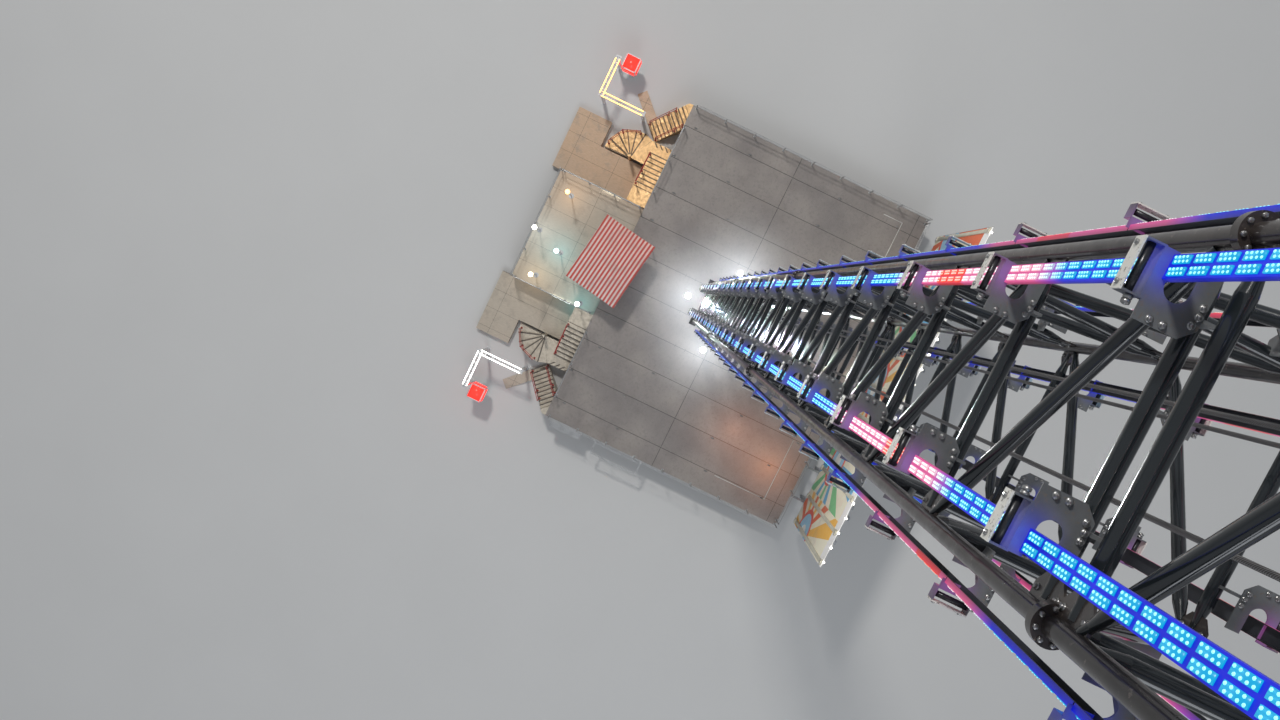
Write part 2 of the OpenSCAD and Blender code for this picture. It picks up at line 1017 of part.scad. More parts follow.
// Winding steps round the newel post, each a wedge with a riser and a skirt under its outer edge
module winding_steps() {
    turn = (winder_to - winder_from) / winders;
    nosing = 1.5;
    // The angles by which a tread runs into the next riser and a riser leans off its line
    tuck = 0.3;
    lean = 0.2;
    for (i = [0 : winders - 1]) {
        top = landing_h + (i + 1) * step_rise;
        a0 = winder_from + i * turn;
        a1 = a0 + turn;
        translate([newel[0], newel[1], 0]) {
            translate([0, 0, top - tread_t])
                linear_extrude(tread_t)
                    polygon([
                        [0, 0], (winder_r + winder_over) * [cos(a0 - nosing), sin(a0 - nosing)],
                        (winder_r + winder_over) * [cos(a1 + tuck), sin(a1 + tuck)]
                    ]);
            rotate([0, 0, a0 - lean])
                translate([0, 0, top - step_rise - tread_t / 2])
                    cube([winder_r - skirt_t / 2, riser_t, step_rise]);
            linear_extrude(top - tread_t / 2)
                polygon([
                    (winder_r - skirt_t) * [cos(a0), sin(a0)], winder_r * [cos(a0), sin(a0)],
                    winder_r * [cos(a1), sin(a1)], (winder_r - skirt_t) * [cos(a1), sin(a1)]
                ]);
        }
    }
    translate([newel[0], newel[1], 0])
        cylinder(d = newel_d, h = corner_z + rail_h);
}

// The floor between the winding steps and the flight along the deck
module corner_floor() {
    lower = newel[1] + (winder_r + winder_over) * sin(winder_to);
    inset = winder_over + 2;
    translate([0, 0, corner_z - tread_t])
        linear_extrude(tread_t)
            polygon([
                newel, [corner_x, lower], [corner_x, deck_y0], [flight_x0, deck_y0],
                [flight_x0, flight_y0], [newel[0], flight_y0]
            ]);
    translate([corner_x - skirt_t - inset, lower - 2 * skirt_t, 0])
        cube([skirt_t, deck_y0 - lower + 2 * skirt_t, corner_z - tread_t / 2]);
    translate([newel[0], flight_y0, 0])
        cube([flight_x0 - newel[0], skirt_t, corner_z - tread_t / 2]);
}

// A straight flight along +X: width on +Y, rising from z = 0, with a skirt down to the ground
module straight_flight(count, rise, tread, width, ground) {
    for (i = [0 : count - 1]) {
        top = (i + 1) * rise;
        translate([i * tread - 6, 0, top - tread_t])
            cube([tread + 6, width, tread_t]);
        translate([i * tread, 0, top - rise - tread_t])
            cube([riser_t, width, rise]);
        for (y = [0, width - skirt_t])
            translate([i * tread, y, -ground])
                cube([tread, skirt_t, top + ground - 1]);
    }
}

module deck_flight() {
    translate([flight_x0, deck_y0, corner_z])
        rotate([0, 0, 180])
            straight_flight(flight_steps, step_rise, flight_tread, flight_w, corner_z);
    skirted(side_x0, flight_x1 + skirt_t, flight_y0, deck_y0, deck_h);
}

// The slanted flight up to the deck's corner, cut along the deck's edges
corner_tread = 113;
corner_rise = deck_h / (corner_steps + 1);
corner_in = 290;
corner_at = [deck_x / 2 - corner_in, deck_y0];

module corner_flight() {
    over = 400;
    difference() {
        translate([corner_at[0], corner_at[1], 0])
            rotate([0, 0, 45])
                translate([-corner_steps * corner_tread, -flight_w / 2, 0])
                    union() {
                        straight_flight(corner_steps, corner_rise, corner_tread, flight_w, 0);
                        translate([corner_steps * corner_tread - 1, 0, 0])
                            difference() {
                                cube([over, flight_w, deck_h]);
                                translate([skirt_t, skirt_t, -1])
                                    cube([over, flight_w - 2 * skirt_t, deck_h - tread_t + 1]);
                            }
                    }
        translate([-deck_x, deck_y0 - fit, -1])
            cube([2 * deck_x, deck_y, deck_h + 2]);
        translate([deck_x / 2, deck_y0 - deck_x, -1])
            cube([deck_x, 2 * deck_x, deck_h + 2]);
    }
}

module side_stair() {
    color("peru") {
        union() {
            winding_steps();
            corner_floor();
            deck_flight();
        }
        corner_flight();
    }
}

// Two boards in line that butt against the slanted flight's side at its first step
ramp_w = 300;
ramp_l = 450;

module ramps() {
    toe = 6;
    mid = (corner_rise + toe) / 2;
    color("khaki")
        for (side = [0, 1])
            mirror([side, 0, 0])
                translate([corner_at[0], corner_at[1], 0])
                    rotate([0, 0, 45])
                        translate([-corner_steps * corner_tread, -flight_w / 2 - fit, 0])
                            rotate([0, 0, -90])
                                for (i = [0, 1])
                                    translate([i * (ramp_l + fit), ramp_w, 0])
                                        rotate([90, 0, 0])
                                            linear_extrude(ramp_w)
                                                polygon([
                                                    [0, 0], [ramp_l, 0],
                                                    [ramp_l, i == 0 ? mid : toe],
                                                    [0, i == 0 ? corner_rise : mid]
                                                ]);
}

// Railings

// A square post on a foot plate
module rail_post() {
    foot_w = 2.4 * rail_d;
    translate([-rail_d / 2, -rail_d / 2, 0])
        cube([rail_d, rail_d, rail_h + 6]);
    translate([-foot_w / 2, -foot_w / 2, 0])
        cube([foot_w, foot_w, 8]);
}

// A run along +X from the origin, on the floor at z = 0
module rail_run(length, gap) {
    count = max(1, round(length / gap));
    for (h = [rail_h / 2, rail_h - rail_d / 2])
        translate([0, 0, h])
            rotate([0, 90, 0])
                cylinder(d = rail_d - 4, h = length);
    for (i = [0 : count])
        translate([i * length / count, 0, 0])
            rail_post();
}

rail_gap = 900;
rail_in = 40;

module deck_railing() {
    color("silver") {
        for (side = [-1, 1])
            translate([side * (deck_x / 2 - rail_in), deck_y0 + 3 * rail_in, deck_h])
                rotate([0, 0, 90])
                    rail_run(deck_y - 4 * rail_in, rail_gap);
        translate([-deck_x / 2 + 4 * rail_in, deck_y1 - rail_in, deck_h])
            rail_run(deck_x - 8 * rail_in, rail_gap);
        // Along the front edge, between the flights
        for (side = [0, 1])
            mirror([side, 0, 0])
                translate([flight_x1 + 60, deck_y0 + rail_in, deck_h])
                    rail_run(corner_at[0] - flight_w / 2 - 160 - flight_x1, rail_gap);
    }
}

module platform_railing() {
    half_x = platform_x / 2 - rail_in;
    color("silver") {
        translate([-half_x, platform_y0 + rail_in, platform_h])
            rail_run(2 * half_x, rail_gap);
        for (side = [-1, 1])
            translate([side * half_x, platform_y0 + 3 * rail_in, platform_h])
                rotate([0, 0, 90])
                    rail_run(platform_y - 6 * rail_in, rail_gap);
    }
}

// Handrails of the stairs: posts on the treads and two rails from post to post
module handrail(points) {
    last = len(points) - 1;
    for (p = points)
        translate(p)
            rail_post();
    for (i = [1 : last])
        for (up = [rail_h / 2, rail_h - rail_d / 2])
            bar(points[i - 1] + [0, 0, up], points[i] + [0, 0, up], rail_d - 6);
}

// A point on the tread of winding step i, near its outer edge
function winder_point(i) = let (
    a = winder_from + (i + 0.5) * (winder_to - winder_from) / winders,
    r = winder_r - 60
) [newel[0] + r * cos(a), newel[1] + r * sin(a), landing_h + (i + 1) * step_rise];
// A point on tread i of the flight along the deck, at its front side
function flight_point(i) = [
    flight_x0 - (i + 0.5) * flight_tread, flight_y0 + rail_in, corner_z + (i + 1) * step_rise
];
// A point on tread i of the slanted flight; side is -1 or 1
function corner_point(i, side) = let (
    x = (i + 0.5 - corner_steps) * corner_tread,
    y = side * (flight_w / 2 - rail_in)
) [corner_at[0] + (x - y) * cos(45), corner_at[1] + (x + y) * cos(45), (i + 1) * corner_rise];

module stair_railing() {
    color("firebrick")
        for (side = [0, 1])
            mirror([side, 0, 0]) {
                handrail([for (i = [0 : 2 : winders - 1]) winder_point(i)]);
                handrail([flight_point(0), flight_point(floor(flight_steps / 2)), flight_point(flight_steps - 1)]);
                for (edge = [-1, 1])
                    handrail([
                        corner_point(0, edge), corner_point(floor(corner_steps / 2), edge),
                        corner_point(corner_steps - 3, edge)
                    ]);
            }
}

// Light gates: two lattice beams on three posts, over the way to each slanted flight

gate_tube = 36;
gate_w = 150;
gate_post = gate_w - 2 * gate_tube - 10;
cube_w = 440;
gate_base = 150;
gate_in = 600;
// The first post's foot plate stands against the side of the ramp
gate_out = sqrt(2) * (corner_steps * corner_tread + fit) + gate_base - gate_in;
GATE = [
    [corner_at[0] - gate_in, corner_at[1] - gate_out], [corner_at[0] - gate_in, landing_y0 + 560],
    [corner_at[0] + 460, landing_y0 + 560]
];

// Two tubes side by side along +X with rungs between them
module gate_beam(length) {
    rungs = round(length / 220);
    for (y = [-1, 1])
        translate([0, y * (gate_w - gate_tube) / 2 - gate_tube / 2, 0])
            cube([length, gate_tube, gate_tube]);
    for (i = [0 : rungs])
        translate([i * (length - gate_tube) / rungs, -gate_w / 2 + 10, 4])
            cube([gate_tube, gate_w - 20, gate_tube - 8]);
}

module gate() {
    run = GATE[1][1] - GATE[0][1];
    union() {
        for (g = GATE)
            translate([g[0], g[1], 0]) {
                translate([-gate_post / 2, -gate_post / 2, 0])
                    cube([gate_post, gate_post, gate_h]);
                for (z = [0, gate_h - 12])
                    translate([-gate_base / 2, -gate_base / 2, z])
                        cube([gate_base, gate_base, 12]);
            }
        translate([GATE[0][0], GATE[0][1] + gate_w / 2, gate_h])
            rotate([0, 0, -90])
                gate_beam(gate_w - run);
        translate([GATE[1][0] - gate_w / 2, GATE[1][1], gate_h])
            gate_beam(GATE[2][0] - GATE[1][0] + gate_w);
    }
}

// A lamp cube with blunt edges, on a stand and an arm from the outer post
module lamp_cube() {
    out = gate_w / 2 + cube_w / 2 + 40;
    stand_h = 520;
    blunt = 30;
    arm_w = 50;
    across = cube_w * sqrt(2) - 2 * blunt;
    translate([GATE[2][0], GATE[2][1], 0]) {
        translate([-arm_w / 2, 0, stand_h - arm_w])
            cube([arm_w, out, arm_w]);
        translate([110, out, 0]) {
            cylinder(d = cube_w - 80, h = 20);
            cylinder(d = 120, h = stand_h);
            translate([0, 0, stand_h - 1])
                intersection() {
                    translate([-cube_w / 2, -cube_w / 2, 0])
                        cube([cube_w, cube_w, cube_w]);
                    rotate([0, 0, 45])
                        translate([-across / 2, -across / 2, 0])
                            cube([across, across, cube_w]);
                }
        }
    }
}

module light_gates() {
    color("white")
        for (side = [0, 1])
            mirror([side, 0, 0]) {
                union() {
                    gate();
                    lamp_cube();
                }
            }
}

// Globe lamps on posts along the platform

globe_d = 130;
lamp_post_h = 1150;
lamp_post_d = 34;
lamp_foot_d = 150;
// Places from the platform's middle and from its front edge; the last one stands near the deck
lamp_front = [150, 190];
lamp_left = [-1100, 590];
lamp_middle = [470, 1000];
lamp_right = [1350, 640];
lamp_in = 150;
lamp_rear = 470;
LAMPS = [
    lamp_front, lamp_left, lamp_middle, lamp_right,
    [platform_x / 2 - lamp_in, platform_y - lamp_rear]
];

module platform_lamps() {
    color("white")
        for (at = LAMPS)
            translate([at[0], platform_y0 + at[1], platform_h])
                union() {
                    cylinder(d = lamp_foot_d, h = 14);
                    cylinder(d = lamp_post_d, h = lamp_post_h);
                    translate([0, 0, lamp_post_h - 20])
                        cylinder(d1 = 50, d2 = 84, h = 40);
                    translate([0, 0, lamp_post_h + globe_d / 2])
                        sphere(d = globe_d);
                }
}

// A tube frame and a long box on the deck's right side

module side_frame() {
    out = 450;
    near = 90;
    frame_l = 1430;
    to_y = -170;
    from_y = to_y - frame_l;
    z = beam_top + joist_h / 2;
    tube = 28;
    chest = [240, 950, 140];
    chest_gap = 470;
    color("silver") {
        union() {
            for (y = [from_y, to_y])
                translate([deck_x / 2 + fit, y - tube / 2, z - tube / 2])
                    cube([out, tube, tube]);
            for (x = [near, out - tube])
                translate([deck_x / 2 + fit + x, from_y, z - tube / 2])
                    cube([tube, to_y - from_y, tube]);
        }
        translate([deck_x / 2 + fit, from_y - chest_gap - chest[1], beam_top - 60])
            cube(chest);
    }
}

// Booth

booth_mid = [40, deck_y0 - 480];
booth_z = platform_h;
// The awning reaches out over the deck's edge on the ride side
awning_shift = 330;
sill = 480;
window_h = 440;
door_w = 380;
door_h = 980;
roof_t = 24;
post_d = 30;
post_in = 60;

module booth_place() {
    translate([booth_mid[0], booth_mid[1], booth_z])
        rotate([0, 0, booth_turn])
            children();
}

// Hollow, with a ticket window in front, a control window to the ride and a door at the side
module booth_walls() {
    color("white")
        booth_place()
            difference() {
                union() {
                    translate([-booth_x / 2, -booth_y / 2, 0])
                        cube([booth_x, booth_y, booth_h]);
                    // Counter shelf under the ticket window, on two brackets
                    translate([-booth_x / 2 + 100, -booth_y / 2 - 110, sill - 22])
                        cube([booth_x - 200, 111, 22]);
                    for (x = [-1, 1])
                        translate([x * (booth_x / 2 - 220) - 10, 0, 0])
                            rotate([90, 0, 90])
                                linear_extrude(20)
                                    polygon([
                                        [-booth_y / 2 + 1, sill - 21], [-booth_y / 2 - 90, sill - 21],
                                        [-booth_y / 2 + 1, sill - 150]
                                    ]);
                }
                translate([-booth_x / 2 + booth_t, -booth_y / 2 + booth_t, booth_t])
                    cube([booth_x - 2 * booth_t, booth_y - 2 * booth_t, booth_h]);
                translate([-booth_x / 2 + 120, -booth_y / 2 - 1, sill])
                    cube([booth_x - 240, booth_t + 2, window_h]);
                translate([-booth_x / 2 + 120, booth_y / 2 - booth_t - 1, sill])
                    cube([booth_x - 240, booth_t + 2, window_h]);
                translate([booth_x / 2 - booth_t - 1, -door_w / 2, booth_t])
                    cube([booth_t + 2, door_w, door_h]);
            }
}

module booth_roof() {
    color("indianred")
        booth_place()
            translate([-awning_x / 2, awning_shift - awning_y / 2, booth_h + fit])
                cube([awning_x, awning_y, roof_t]);
}

// Corner posts from the platform, or from the deck behind it, up to the awning
module awning_posts() {
    rise = booth_h - deck_h + platform_h;
    color("silver")
        booth_place()
            for (x = [-1, 1]) {
                translate([x * (awning_x / 2 - post_in), awning_shift - awning_y / 2 + post_in, 0]) {
                    cylinder(d = post_d, h = booth_h);
                    cylinder(d = 3 * post_d, h = 8);
                }
                translate([
                    x * (awning_x / 2 - post_in), awning_shift + awning_y / 2 - post_in,
                    deck_h - platform_h
                ]) {
                    cylinder(d = post_d, h = rise);
                    cylinder(d = 3 * post_d, h = 8);
                }
            }
}

// Backdrop

back_y = deck_y1 + back_gap;
back_t = 30;

module backdrop_wall() {
    color("wheat")
        translate([-back_x / 2, back_y, deck_h])
            cube([back_x, back_t, back_top - deck_h]);
}

post_w = 90;
BACK_POSTS = [for (x = JOISTS) if (abs(x) < back_x / 2 - post_w) x];

// A post behind the wall on each joist line, with a tie to the joist's end
module backdrop_posts() {
    color("gray")
        for (x = BACK_POSTS)
            translate([x, back_y + back_t, 0]) {
                translate([-post_w / 2, 0, 0])
                    cube([post_w, post_w, back_top - 100]);
                translate([-joist_w / 2, -back_gap - back_t, beam_top])
                    cube([joist_w, back_gap + back_t + 10, joist_h]);
            }
}

// A sole plate on the ground behind each post and a strut from it up to the post
module backdrop_struts() {
    reach = -landing_y0 - back_y - back_t;
    sole_h = 60;
    shoe = 120;
    strut_w = 50;
    strut_z = 2600;
    color("gray")
        for (x = BACK_POSTS)
            translate([x, back_y + back_t + post_w + fit, 0])
                union() {
                    translate([-post_w / 2, 0, 0])
                        cube([post_w, reach - post_w - fit, sole_h]);
                    translate([-strut_w / 2, 0, 0])
                        rotate([90, 0, 90])
                            linear_extrude(strut_w)
                                polygon([
                                    [0, strut_z], [0, strut_z - shoe],
                                    [reach - post_w - 260, sole_h - 5],
                                    [reach - post_w - 180, sole_h - 5]
                                ]);
                }
}

// Floodlights

flood_d = 170;
FLOODS = [[0, -1055], [1195, 0], [0, 1055], [-1195, 0]];

// A lamp head that points up the mast, on a yoke over a round foot
module floodlight() {
    yoke_w = flood_d + 44;
    union() {
        cylinder(d = 180, h = 12);
        cylinder(d = 40, h = 60);
        translate([-yoke_w / 2, -15, 50])
            cube([yoke_w, 30, 12]);
        for (x = [-1, 1])
            translate([x * (yoke_w / 2 - 5) - 5, -15, 50])
                cube([10, 30, 110]);
        translate([0, 0, 140])
            rotate([0, 90, 0])
                cylinder(d = 16, h = yoke_w + 20, center = true);
        difference() {
            translate([0, 0, 80])
                cylinder(d1 = flood_d - 60, d2 = flood_d, h = 110);
            translate([0, 0, 176])
                cylinder(d = flood_d - 20, h = 20);
        }
    }
}

module floodlights() {
    color("white")
        for (p = FLOODS)
            translate([p[0], p[1], deck_h])
                floodlight();
}

translate([-half, -half, 0]) chord();  // chord_front_left
translate([half, -half, 0]) rotate([0, 0, 90]) chord();  // chord_front_right
translate([half, half, 0]) rotate([0, 0, 180]) chord();  // chord_rear_right
translate([-half, half, 0]) rotate([0, 0, 270]) chord();  // chord_rear_left
lattice();  // lattice_front
rotate([0, 0, 90]) lattice();  // lattice_right
rotate([0, 0, 180]) lattice();  // lattice_rear
rotate([0, 0, 270]) lattice();  // lattice_left
brackets();  // brackets_front
rotate([0, 0, 90]) brackets();  // brackets_right
rotate([0, 0, 180]) brackets();  // brackets_rear
rotate([0, 0, 270]) brackets();  // brackets_left
light_panels();  // light_panels_front
rotate([0, 0, 90]) light_panels();  // light_panels_right
rotate([0, 0, 180]) light_panels();  // light_panels_rear
rotate([0, 0, 270]) light_panels();  // light_panels_left
head_frame();
head_sheaves();
hoist_ropes();
hoist_drum();
carriage_frame();
guide_rollers();
seat_row();  // seats_front
rotate([0, 0, 90]) seat_row();  // seats_right
rotate([0, 0, 180]) seat_row();  // seats_rear
rotate([0, 0, 270]) seat_row();  // seats_left
restraints();
base_frame();
outriggers();
jacks();
floor_joists();
floor_legs();
deck_centre();
mirror([1, 0, 0]) deck_side();  // deck_left
deck_side();  // deck_right
deck_front();
deck_rear();
side_frame();
front_platform();
landings();
mirror([1, 0, 0]) side_stair();  // entry_stair
side_stair();  // exit_stair
ramps();
deck_railing();
platform_railing();
stair_railing();
light_gates();
platform_lamps();
floodlights();
booth_walls();
booth_roof();
awning_posts();
backdrop_wall();
backdrop_posts();
backdrop_struts();
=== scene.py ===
"""Drop tower ride at 1:2: materials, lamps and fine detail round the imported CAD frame."""

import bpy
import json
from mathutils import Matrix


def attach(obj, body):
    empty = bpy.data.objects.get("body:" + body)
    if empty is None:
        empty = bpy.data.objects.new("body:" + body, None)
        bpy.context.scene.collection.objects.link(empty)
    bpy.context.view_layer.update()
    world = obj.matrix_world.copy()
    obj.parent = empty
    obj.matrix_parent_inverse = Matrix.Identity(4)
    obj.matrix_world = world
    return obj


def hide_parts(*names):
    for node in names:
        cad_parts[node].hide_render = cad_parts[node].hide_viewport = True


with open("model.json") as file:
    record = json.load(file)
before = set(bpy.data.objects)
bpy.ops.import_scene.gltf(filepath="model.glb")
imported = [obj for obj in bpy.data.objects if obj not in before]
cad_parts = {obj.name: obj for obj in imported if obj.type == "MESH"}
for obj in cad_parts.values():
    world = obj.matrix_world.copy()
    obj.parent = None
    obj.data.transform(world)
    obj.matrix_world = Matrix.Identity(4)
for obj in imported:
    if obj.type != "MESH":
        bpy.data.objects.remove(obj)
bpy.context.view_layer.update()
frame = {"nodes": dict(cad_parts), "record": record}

import json
import math

import bpy
import numpy as np
from mathutils import Matrix, Vector

NODES = frame["nodes"]
SLOT_OF = {s["node"]: s["material_slot"] for s in frame["record"]["subparts"]}
scene = bpy.context.scene

# Sizes repeated from the CAD, in metres
HALF = 0.59
LIGHT_FACE = 0.775
LIGHT_X = 0.408
BAY = 1.15
SECTIONS = [(1.01, 7), (9.24, 7), (17.47, 7), (25.70, 4)]
RISE = 0.109
LEVELS = [z + k * BAY for z, n in SECTIONS for k in range(n + 1)]
BRACKETS = [z + k * BAY + RISE for i, (z, n) in enumerate(SECTIONS)
            for k in range(0 if i == 0 else 1, n + 1)]
DECK_Z = 0.9
PLATFORM_Z = 0.8
SIDES = ("front", "right", "rear", "left")
NEWEL = (2.8203, -4.26)
GUARD_FRONT = 0.8588  # front of the brackets' guards, from the mast's axis
BOOTH_AT, BOOTH_TURN = (0.04, -3.72), -8.8
AWNING_L, AWNING_D, AWNING_Z = 2.02, 1.58, 1.9246
STRIPES = 14.5
# Backdrop: its left end, the width of a panel and of a fan, the height of a fan's middle, its back
WALL_LEFT = -4.55
PANEL = 0.910
FAN = 2.275
FAN_Z = 2.2
WALL_BACK = 4.58
FLOODS = [(0, -1.055), (1.195, 0), (0, 1.055), (-1.195, 0)]
# The globe lamps: place, colour, strength, and the colour of the light painted on the boards round each
GLOBE_R, GLOBE_Z = 0.067, 2.015
GLOBES = {
    "white": ((0.15, -5.65), (1.0, 0.97, 0.90), 9.0, (0.9, 0.95, 0.85)),
    "orange": ((-1.10, -5.25), (1.0, 0.55, 0.16), 5.0, (1.0, 0.50, 0.15)),
    "cyan": ((0.47, -4.84), (0.45, 0.95, 1.0), 9.0, (0.25, 0.95, 1.0)),
    "warm": ((1.35, -5.20), (1.0, 0.82, 0.55), 7.0, (1.0, 0.70, 0.35)),
    "cool": ((1.53, -3.71), (0.70, 1.0, 1.0), 10.0, (0.35, 1.0, 0.95)),
}


# Node materials

class Nodes:
    """Short calls for building one material's node tree."""

    def __init__(self, name):
        self.mat = bpy.data.materials.new(name)
        self.mat.use_nodes = True
        self.tree = self.mat.node_tree
        self.bsdf = self.tree.nodes["Principled BSDF"]
        self.coords = self.tree.nodes.new("ShaderNodeTexCoord")
        self.at = self.coords.outputs["Object"]

    def add(self, kind, props=None, **inputs):
        n = self.tree.nodes.new("ShaderNode" + kind)
        for k, v in (props or {}).items():
            setattr(n, k, v)
        for k, v in inputs.items():
            self.put(n.inputs[k.replace("_", " ")], v)
        return n

    def put(self, socket, v):
        if isinstance(v, bpy.types.NodeSocket):
            self.tree.links.new(v, socket)
        else:
            socket.default_value = v

    def math(self, op, a, b=0.0, clamp=False):
        n = self.tree.nodes.new("ShaderNodeMath")
        n.operation = op
        n.use_clamp = clamp
        self.put(n.inputs[0], a)
        self.put(n.inputs[1], b)
        return n.outputs[0]

    def scaled(self, scale, at=None):
        n = self.add("Mapping")
        self.put(n.inputs["Vector"], at or self.at)
        n.inputs["Scale"].default_value = scale
        return n.outputs[0]

    def noise(self, scale, detail=4.0, rough=0.55, at=None):
        n = self.add("TexNoise", Vector=at or self.at, Scale=scale, Detail=detail, Roughness=rough)
        return n.outputs["Fac"]

    def cells(self, scale, at=None, feature="F1", out="Distance"):
        n = self.add("TexVoronoi", {"feature": feature}, Vector=at or self.at, Scale=scale)
        return n.outputs[out]

    def levels(self, fac, lo, hi, a=0.0, b=1.0):
        n = self.add("MapRange", Value=fac)
        for k, v in (("From Min", lo), ("From Max", hi), ("To Min", a), ("To Max", b)):
            n.inputs[k].default_value = v
        return n.outputs["Result"]

    def mix(self, fac, a, b):
        n = self.add("Mix", {"data_type": "RGBA"})
        self.put(n.inputs[0], fac)
        self.put(n.inputs[6], a)
        self.put(n.inputs[7], b)
        return n.outputs[2]

    def xyz(self, at=None):
        n = self.add("SeparateXYZ", Vector=at or self.at)
        return n.outputs

    def upward(self):
        """1 on faces that look up, else 0."""
        return self.math("GREATER_THAN", self.xyz(self.coords.outputs["Normal"])[2], 0.6)

    def within(self, v, lo, hi):
        above = self.math("GREATER_THAN", v, lo)
        return self.math("MULTIPLY", above, self.math("LESS_THAN", v, hi))

    def distance(self, dx, dy):
        squares = self.math("MULTIPLY", dx, dx), self.math("MULTIPLY", dy, dy)
        return self.math("SQRT", self.math("ADD", *squares))

    def line(self, v, pitch, width, start=0.0):
        """1 on thin lines every pitch along v, else 0."""
        m = self.math("ADD", self.math("SUBTRACT", v, start), 1000.0 * pitch)
        m = self.math("MODULO", m, pitch)
        return self.math("LESS_THAN", m, width)

    def bump(self, height, strength=0.3, distance=0.002, after=None):
        n = self.add("Bump", Height=height)
        n.inputs["Strength"].default_value = strength
        n.inputs["Distance"].default_value = distance
        if after is not None:
            self.put(n.inputs["Normal"], after)
        return n.outputs["Normal"]

    def done(self, color=None, rough=None, normal=None, **fixed):
        if color is not None:
            self.put(self.bsdf.inputs["Base Color"], color)
        if rough is not None:
            self.put(self.bsdf.inputs["Roughness"], rough)
        if normal is not None:
            self.put(self.bsdf.inputs["Normal"], normal)
        for k, v in fixed.items():
            self.put(self.bsdf.inputs[k.replace("_", " ")], v)
        return self.mat


def rgba(c):
    return (*c, 1.0)


def paint(name, base, shade, worn, rough=(0.3, 0.5), metal=0.0, wear=0.62, scale=3.0, coat=0.0,
          grain=0.12):
    """Paint on metal: cloudy colour, worn specks and light scratches."""
    n = Nodes(name)
    cloud = n.levels(n.noise(scale, 5.0), 0.35, 0.65)
    body = n.mix(cloud, rgba(base), rgba(shade))
    specks = n.levels(n.noise(scale * 14.0, 8.0, 0.7), wear, wear + 0.05)
    body = n.mix(specks, body, rgba(worn))
    r = n.levels(n.noise(scale * 5.0, 3.0), 0.3, 0.7, *rough)
    fine = n.noise(160.0, 3.0)
    return n.done(body, r, n.bump(fine, grain, 0.001, n.bump(specks, 0.15, 0.001)),
                  Metallic=metal, Coat_Weight=coat)


def steel(name, base, shade, rough=(0.25, 0.45), along=(1.0, 1.0, 12.0)):
    """Brushed or rolled steel with fine lines."""
    n = Nodes(name)
    lines = n.noise(60.0, 6.0, 0.7, n.scaled(along))
    body = n.mix(n.levels(lines, 0.3, 0.7), rgba(base), rgba(shade))
    stain = n.levels(n.noise(5.0, 4.0), 0.5, 0.8, 0.0, 0.35)
    body = n.mix(stain, body, rgba([c * 0.4 for c in shade]))
    rough = n.levels(lines, 0.3, 0.7, *rough)
    return n.done(body, rough, n.bump(lines, 0.15, 0.0008), Metallic=0.9)


def galvanised(name, base, shade):
    """Zinc with its spangle."""
    n = Nodes(name)
    cell = n.add("TexVoronoi", Vector=n.at, Scale=55.0).outputs["Color"]
    tone = n.xyz(cell)[0]
    body = n.mix(tone, rgba(base), rgba(shade))
    stain = n.levels(n.noise(4.0, 5.0), 0.5, 0.75, 0.0, 0.5)
    body = n.mix(stain, body, rgba([c * 0.55 for c in shade]))
    rough = n.levels(tone, 0.0, 1.0, 0.35, 0.55)
    return n.done(body, rough, n.bump(tone, 0.08, 0.0006), Metallic=0.75)


MATS = {
    "mast_paint": paint("mast_paint", (0.046, 0.036, 0.031), (0.026, 0.022, 0.022), (0.15, 0.12, 0.10),
                        (0.26, 0.44), 0.1, scale=2.5, coat=0.5, grain=0.04),
    "brace_paint": paint("brace_paint", (0.012, 0.016, 0.019), (0.008, 0.011, 0.013), (0.08, 0.09, 0.10),
                         (0.14, 0.22), 0.0, 0.72, 4.0, 0.6, 0.01),
    "head_paint": paint("head_paint", (0.20, 0.21, 0.22), (0.14, 0.14, 0.15), (0.38, 0.38, 0.38)),
    "carriage_paint": paint("carriage_paint", (0.06, 0.10, 0.36), (0.04, 0.07, 0.26), (0.30, 0.32, 0.36),
                            (0.18, 0.34), 0.1, 0.66, 3.0, 0.5),
    "frame_paint": paint("frame_paint", (0.12, 0.13, 0.14), (0.08, 0.085, 0.09), (0.26, 0.20, 0.15)),
    "rail_red": paint("rail_red", (0.46, 0.045, 0.035), (0.34, 0.03, 0.03), (0.55, 0.50, 0.46), (0.2, 0.4),
                      0.1, 0.64, 5.0, 0.3),
    "booth_panel": paint("booth_panel", (0.78, 0.77, 0.74), (0.70, 0.69, 0.66), (0.50, 0.46, 0.40),
                         (0.3, 0.45), 0.0, 0.68, 2.0),
    "lamp_body": paint("lamp_body", (0.72, 0.72, 0.72), (0.60, 0.61, 0.62), (0.30, 0.29, 0.28),
                       (0.3, 0.5), 0.1, 0.66, 5.0),
    "sheave_steel": steel("sheave_steel", (0.50, 0.50, 0.51), (0.34, 0.34, 0.35)),
    "rail_steel": steel("rail_steel", (0.62, 0.62, 0.61), (0.46, 0.46, 0.46)),
    "galvanised": galvanised("galvanised", (0.48, 0.49, 0.50), (0.34, 0.35, 0.37)),
}


